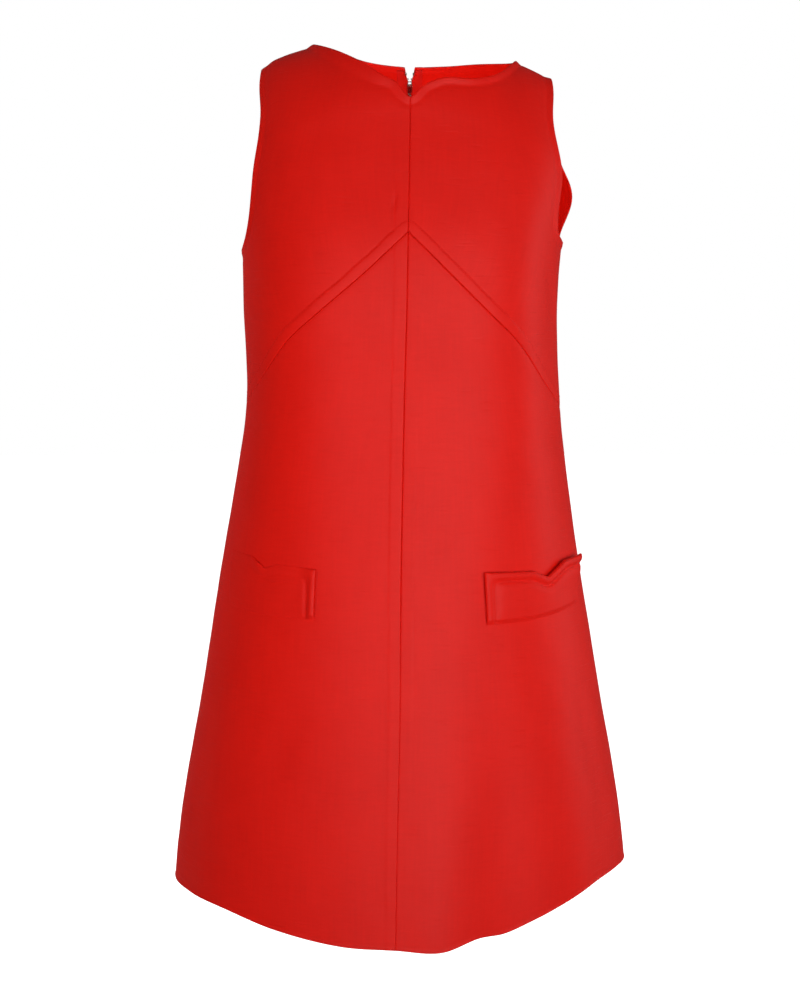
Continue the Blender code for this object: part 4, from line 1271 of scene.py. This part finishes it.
def hinge_frame():
    """Matrix of the hinge: on the slider's bridge, turned to the cloth where the tab lies on it."""
    def cloth(z):
        degrees = degrees_beside_middle(RIGHT, z, 1e-6)
        return body_point(RIGHT, BACK, degrees, z) + np.array([0, SEAM_GAP / 2, 0])
    touch = SLIDER_HEIGHT - TOUCH_LENGTH
    down = Vector(cloth(np.array(touch - 1e-4)) - cloth(np.array(touch))).normalized()
    out = Vector((0, -down.z, down.y))
    made = Matrix.Identity(4)
    for axis, vector in enumerate((Vector((1, 0, 0)), out, -down)):
        made.col[axis][:3] = vector
    made.translation = Vector(cloth(np.array(SLIDER_HEIGHT))) + out * HINGE_OUT
    made.translation.x = float(section("centre", np.array(SLIDER_HEIGHT)))
    return made


HINGE = np.array(hinge_frame())
print("hinge at", np.round(HINGE[:3, 3], 5))


def on_hinge(part, move=(0, 0, 0)):
    """Points of a part made in the hinge's frame, carried to where the hinge is."""
    points, faces = part
    return (points + np.asarray(move)) @ HINGE[:3, :3].T + HINGE[:3, 3], faces


# %% Slider
PLATE = 0.85 * MM         # wall of its two plates
SLIDER_DEPTH = 3.0 * MM   # over both plates
SLIDER_BEHIND = 1.3 * MM  # from the cloth's inner face to the outer plate
WEDGE = (1.3 * MM, 1.9 * MM, 2.6 * MM)
WEDGE_HEIGHT = 2.4 * MM   # of the wedge's middle above the slider's
BRIDGE_WIDTH = 1.3 * MM
BRIDGE_BAR = 0.9 * MM
BRIDGE_BEND = 1.1 * MM    # radius of its two corners
BRIDGE_HOLE = (3.0 * MM, 2.2 * MM)   # along the zip, and out from the cloth
# Outline of the bar, as shares of half its width and half its wall
BAR_RING = np.array([(1, .55), (.7, 1), (-.7, 1), (-1, .55), (-1, -.55), (-.7, -1), (.7, -1), (1, -.55)])


def slider_plate(width, length, middle):
    """A plate whose lower half narrows: its width falls as an ease down its length."""
    points, faces = rounded_block((width, PLATE, length), 0.34 * MM, steps=3)
    narrow = 1 - 0.20 * ease(0.5 - points[:, 2] / length)
    points[:, 0] *= narrow
    return on_hinge((points, faces), (0, middle, 0))


def swept_bar(path, width, wall):
    """A bar of rounded section along a path in the plane x = 0, both ends closed."""
    along = unit(np.gradient(path, axis=0))
    beside = np.stack([-along[:, 1], along[:, 0]], -1)
    x = np.broadcast_to(BAR_RING[:, 0] * width / 2, (len(path), len(BAR_RING)))
    yz = path[:, None] + beside[:, None] * (BAR_RING[:, 1] * wall / 2)[None, :, None]
    points = np.concatenate([x[..., None], yz], -1)
    index = grid_numbers(points.shape)
    sides = grid_faces(grid_numbers(points.shape, wrapped=(1,)).T)
    caps = [index[end][list(corners)] for end, corners in
            ((0, (3, 2, 1, 0)), (0, (7, 4, 3, 0)), (0, (7, 6, 5, 4)),
             (-1, (0, 1, 2, 3)), (-1, (0, 3, 4, 7)), (-1, (4, 5, 6, 7)))]
    return points.reshape(-1, 3), np.concatenate([sides, caps])


def bridge_path(start):
    """Out from the slider, round over the tab's eye, and back: straight legs and two quarter turns."""
    half_long = BRIDGE_HOLE[0] / 2 + BRIDGE_BAR / 2
    crown = BRIDGE_HOLE[1] / 2 + BRIDGE_BAR / 2
    turn = np.radians(np.linspace(0, 90, 9))
    bend = BRIDGE_BEND * np.stack([np.sin(turn), np.cos(turn)], -1)
    corner = (crown - BRIDGE_BEND, half_long - BRIDGE_BEND) + bend
    leg = np.stack([np.linspace(start, crown - BRIDGE_BEND, 8)[:-1], np.full(7, half_long)], -1)
    upper = np.concatenate([leg, corner])
    return np.concatenate([upper, (upper * (1, -1))[::-1]])


def zip_slider():
    """Two plates, the wedge between them and the bridge."""
    outer_face = -HINGE_OUT - CLOTH - SLIDER_BEHIND
    outer_plate = outer_face - PLATE / 2
    inner_plate = outer_face - SLIDER_DEPTH + PLATE / 2
    parts = [slider_plate(SLIDER_WIDTH, SLIDER_LENGTH, outer_plate),
             slider_plate(SLIDER_WIDTH, SLIDER_LENGTH, inner_plate),
             on_hinge(rounded_block(WEDGE, 0.3 * MM, steps=2),
                      (0, (outer_plate + inner_plate) / 2, WEDGE_HEIGHT)),
             on_hinge(swept_bar(bridge_path(outer_plate), BRIDGE_WIDTH, BRIDGE_BAR))]
    return small_piece("slider", parts, NICKEL)


slider = zip_slider()

# %% Pull tab
PULL_LENGTH = 22.5 * MM
PULL_WIDTH_TOP = 4.2 * MM
PULL_WIDTH_END = 5.6 * MM
PULL_WALL = 0.9 * MM
PULL_SHOULDER = 1.1 * MM      # radius of its two upper corners
EYE_BAR = 0.9 * MM            # the stretch over the eye
EYE = (2.2 * MM, 3.4 * MM)    # width and length of the hole
RIM_ROUND = 0.26 * MM
PANEL_DEPTH = 0.16 * MM       # of the sunk panel
BORDER_OUTSIDE = (0.75 * MM, 0.22 * MM)   # width of the raised border, and of its slope
BORDER_AT_EYE = (0.60 * MM, 0.30 * MM)
# Distances of the tab's rings of points from its outline; the first five serve at the eye too
TAB_RINGS = np.array([0, 0.05, 0.12, 0.24, 0.40, 0.62, 0.80, 0.98, 1.15]) * MM


def tab_outlines(count=96):
    """The tab's outline, evenly along its length, and the eye's point in line with each.

    The eye is a rounded oblong: |x / half width| and |z / half length|, both to the power of 4,
    add up to 1.
    """
    top, end_radius = EYE_BAR / 2, PULL_WIDTH_END / 2
    bottom = top - PULL_LENGTH
    turn = np.radians(np.linspace(0, 180, 25))
    end = np.stack([end_radius * np.cos(turn), bottom + end_radius - end_radius * np.sin(turn)], -1)
    turn = np.radians(np.linspace(0, 90, 9))
    bend = PULL_SHOULDER * np.stack([np.cos(turn), np.sin(turn)], -1)
    bend = (PULL_WIDTH_TOP / 2 - PULL_SHOULDER, top - PULL_SHOULDER) + bend
    outline = np.concatenate([end, (bend * (-1, 1)), bend[::-1], end[:1]])
    way = way_along(outline)
    outer = values_at(np.linspace(0, way[-1], count, endpoint=False), way, outline)
    middle = np.array([0, -EYE_BAR / 2 - EYE[1] / 2])
    ray = outer - middle
    reach = (np.abs(ray[:, :1] / (EYE[0] / 2)) ** 4 + np.abs(ray[:, 1:] / (EYE[1] / 2)) ** 4) ** -0.25
    return outer, middle + ray * reach


def zip_tab():
    """A plate between two outlines: rounded rims, a raised border, and a sunk panel on its face."""
    outer, inner = tab_outlines()
    length = np.linalg.norm(outer - inner, axis=1)[None, :]
    rim = TAB_RINGS[:, None]
    from_outer = np.minimum(rim, 0.46 * length)
    from_inner = np.minimum(rim[:5][::-1], 0.46 * length)
    away = np.concatenate([from_outer, length - from_inner])
    height = PULL_WALL / 2 - RIM_ROUND * quarter_circle(np.minimum(away, length - away), RIM_ROUND)
    sunk = PANEL_DEPTH
    for distance, (border, slope) in ((away, BORDER_OUTSIDE), (length - away, BORDER_AT_EYE)):
        sunk = sunk * ease((distance - border) / slope)
    flat = outer[None] + (inner - outer)[None] * (away / length)[..., None]
    front = np.stack([flat[..., 0], height - sunk, flat[..., 1]], -1)
    back = np.stack([flat[..., 0], -height, flat[..., 1]], -1)[::-1]
    points = np.concatenate([front, back])
    faces = grid_faces(grid_numbers(points.shape, wrapped=(0, 1)))
    return small_piece("pull_tab", [on_hinge((points.reshape(-1, 3), faces))], NICKEL)


pull_tab = zip_tab()

# %% [markdown]
# ## Stitches
#
# The pressed edges are held by a row of stitches in matching thread. Where a piece's distance to
# its stitching line passes zero, between two grid points, is a point of that line. The line is
# then cut into even steps, and one short, round-ended thread lies in each, sunk into the cloth as
# a pulled stitch is.


# %% Where a stitching line runs on a panel
def crossing_line(panel, key, along_rows):
    """Points on the outer face where a distance passes zero, row by row or column by column."""
    values, outer, normal = panel["distances"][key], panel["outer"], panel["normal"]
    if not along_rows:
        values, outer, normal = values.T, outer.swapaxes(0, 1), normal.swapaxes(0, 1)
    passes = (values[:, :-1] < 0) != (values[:, 1:] < 0)
    rows = np.flatnonzero(passes.any(axis=1))
    first = passes[rows].argmax(axis=1)
    low, high = values[rows, first], values[rows, first + 1]
    t = (low / (low - high))[:, None]
    return (outer[rows, first] * (1 - t) + outer[rows, first + 1] * t,
            normal[rows, first] * (1 - t) + normal[rows, first + 1] * t)


STITCH = rounded_block((0.42 * MM, 0.36 * MM, 2.3 * MM), 0.17 * MM)
STITCH_PITCH = 3.1 * MM
STITCH_OUT = 0.06 * MM        # of a thread's middle from the cloth


def stitch_row(line, normals):
    """Threads set every pitch along a line: axes across it, out from the cloth, and along it."""
    way = way_along(line)
    at = np.arange(STITCH_PITCH, way[-1] - STITCH_PITCH, STITCH_PITCH)
    places = values_at(at, way, line)
    along = unit(values_at(at + MM, way, line) - places)
    out = values_at(at, way, normals)
    out = unit(out - along * np.sum(out * along, axis=1, keepdims=True))
    return many(STITCH, places + out * STITCH_OUT, np.stack([np.cross(out, along), out, along], 1))


def sew_stitches(name, rows):
    """One piece from several stitched lines."""
    parts = [stitch_row(line, normals) for line, normals in rows]
    piece = small_piece(name, parts, THREAD)
    print(name, sum(len(part[0]) for part in parts) // len(STITCH[0]), "stitches")
    return piece


front_rows = [crossing_line(bodices[side], "band", False) for side in (LEFT, RIGHT)]
back_rows = [crossing_line(backs[side], "press", True) for side in (LEFT, RIGHT)]
back_rows = [(line[line[:, 2] > ZIP_END], normals[line[:, 2] > ZIP_END])
             for line, normals in back_rows]
stitches = [sew_stitches("stitches_front", front_rows), sew_stitches("stitches_back", back_rows)]

# %% [markdown]
# ## Which body each piece rides on
#
# Everything is cloth or is sewn to it, so it rides on the dress, and only the tab rides on the
# zip's own body. Each new piece but the stitches stands for a plain solid of the frame.

def declare(piece, nodes, body="dress"):
    """Ride on a body, and stand for nodes of the frame."""
    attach(piece, body)
    if nodes:
        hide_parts(*nodes)


BACK_NODES = ("back_upper", "back_middle", "back_lower")
for side in (LEFT, RIGHT):
    name = side_name(side)
    for made, nodes in ((bodices[side], ["front_bodice"]), (skirts[side], ["front_skirt"]),
                        (backs[side], BACK_NODES)):
        declare(made["piece"], [f"{node}_{name}" for node in nodes])
    welt, tape = welts[side], tapes[side]
    declare(welt["piece"], [f"pocket_welt_{name}"])
    declare(tape["piece"], [f"zip_tape_{name}"])
declare(teeth, ["zip_chain"])
declare(slider, ["zip_slider"])
declare(pull_tab, ["zip_pull"], body="zip_pull")
for piece in stitches:
    declare(piece, [])

# %% [markdown]
# ## Floor, light and camera
#
# The dress hangs in front of plain white, and a pale floor lies well below it. Soft lamps stand at
# about the height of the waist: the largest in front on the right, smaller ones on both sides of
# it, and three behind. Two tiny ones light the inside at the neck and at an armhole. Some of them
# leave no highlight, so that they brighten the cloth without a veil of shine. The surroundings are
# pure white to the camera and faint to everything else, because an even white light would wash out
# the creases. The camera stands a little above the waist, tilted down, as far away as the
# picture's own perspective says.

# %% Floor
FLOOR_HEIGHT = -1.35
FLOOR_TONES = (0.48, 0.48, 0.48), (0.50, 0.50, 0.50)
FLOOR_GLOW = 1.20         # seen by the camera alone


def floor_material():
    """Pale matt paint with a faint unevenness, and a glow that lifts it to the surroundings' white."""
    made, tree, shader = new_material("white_floor")
    place = add(tree, "ShaderNodeTexCoord").outputs["Object"]
    mottle = stretched_noise(tree, place, 3.0, 3.0, 3.0)
    tree.links.new(two_tones(tree, mottle, *FLOOR_TONES), shader.inputs["Base Color"])
    shader.inputs["Roughness"].default_value = 0.9
    seen = add(tree, "ShaderNodeLightPath").outputs["Is Camera Ray"]
    tree.links.new(calc(tree, "MULTIPLY", seen, FLOOR_GLOW), shader.inputs["Emission Strength"])
    shader.inputs["Emission Color"].default_value = (1, 1, 1, 1)
    return made


def floor():
    """A large round plane: rings of points round the middle, which is left open under the dress."""
    turn = np.linspace(0, 2 * math.pi, 96, endpoint=False)
    rings = np.linspace(0.02, 14.0, 30)[:, None]
    points = np.stack([rings * np.cos(turn), rings * np.sin(turn), FLOOR_HEIGHT + 0 * rings * turn], -1)
    faces = grid_faces(grid_numbers(points.shape, wrapped=(1,)))
    flat = points.reshape(-1, 3)
    made = mesh_piece("floor", flat, faces, flat[:, :2], floor_material())
    made.visible_glossy = False
    return made


floor()


# %% Light
def soft_light(name, place, towards, size, power, spread, shine):
    """A rectangular area light that faces a point."""
    data = bpy.data.lights.new(name, "AREA")
    data.shape = "RECTANGLE"
    data.size, data.size_y = size
    data.energy = power
    data.spread = math.radians(spread)
    data.cycles.use_multiple_importance_sampling = shine
    lamp = bpy.data.objects.new(name, data)
    lamp.location = place
    lamp.rotation_euler = (Vector(towards) - Vector(place)).to_track_quat("-Z", "Y").to_euler()
    lamp.visible_camera = False
    lamp.visible_glossy = shine
    bpy.context.scene.collection.objects.link(lamp)


WAIST = (0.0, 0.0, -0.38)
NARROW, WIDE = 42, 180    # spread of a lamp's light, in degrees
# Name, place, what it faces, width and height, power, spread, and whether it leaves a highlight
LIGHTS = (
    ("key", (0.9, -2.35, -0.34), WAIST, (2.0, 1.5), 3.15, NARROW, True),
    ("front", (-0.7, -2.4, -0.34), WAIST, (1.0, 1.5), 0.98, NARROW, True),
    ("right_front", (1.6, -2.0, -0.35), WAIST, (1.2, 1.5), 1.80, NARROW, False),
    ("left_front", (-2.2, -1.2, -0.35), WAIST, (1.2, 1.5), 1.60, NARROW, False),
    ("right_side", (2.3, 0.2, -0.20), WAIST, (0.8, 1.6), 8.5, WIDE, True),
    ("behind", (0.2, 2.6, -0.10), WAIST, (0.8, 1.2), 5.0, WIDE, True),
    ("behind_right", (1.5, 2.2, -0.10), WAIST, (1.4, 1.6), 20.0, WIDE, False),
    ("behind_left", (-1.9, 1.8, -0.30), WAIST, (1.4, 1.6), 24.0, WIDE, False),
    ("neck", (0.01, -0.01, -0.16), (0.01, 0.09, -0.04), (0.14, 0.06), 0.085, WIDE, False),
    ("armhole", (0.02, -0.03, -0.13), (0.16, 0.06, -0.13), (0.06, 0.10), 0.045, WIDE, False),
)
for light in LIGHTS:
    soft_light(*light)
print("lamps:", len(LIGHTS))


def white_surroundings(lighting=0.10):
    """Pure white to the camera, and a faint, even light to all else."""
    world = bpy.data.worlds.new("white")
    bpy.context.scene.world = world
    world.use_nodes = True
    tree = world.node_tree
    seen = add(tree, "ShaderNodeLightPath").outputs["Is Camera Ray"]
    background = tree.nodes["Background"]
    background.inputs["Color"].default_value = (1, 1, 1, 1)
    tree.links.new(calc(tree, "MAXIMUM", seen, lighting), background.inputs["Strength"])


white_surroundings()
bpy.context.scene.view_settings.view_transform = "Standard"

# %% Camera
CAMERA_PLACE = (0.0, -1.80, -0.2755)
CAMERA_TILT = 5.379       # degrees below level
LENS, SENSOR = 65, 36     # millimetres
camera_data = bpy.data.cameras.new("camera")
camera_data.lens = LENS
camera_data.sensor_width = SENSOR
camera = bpy.data.objects.new("camera", camera_data)
camera.location = CAMERA_PLACE
camera.rotation_euler = (math.radians(90 - CAMERA_TILT), 0, 0)
bpy.context.scene.collection.objects.link(camera)
bpy.context.scene.camera = camera
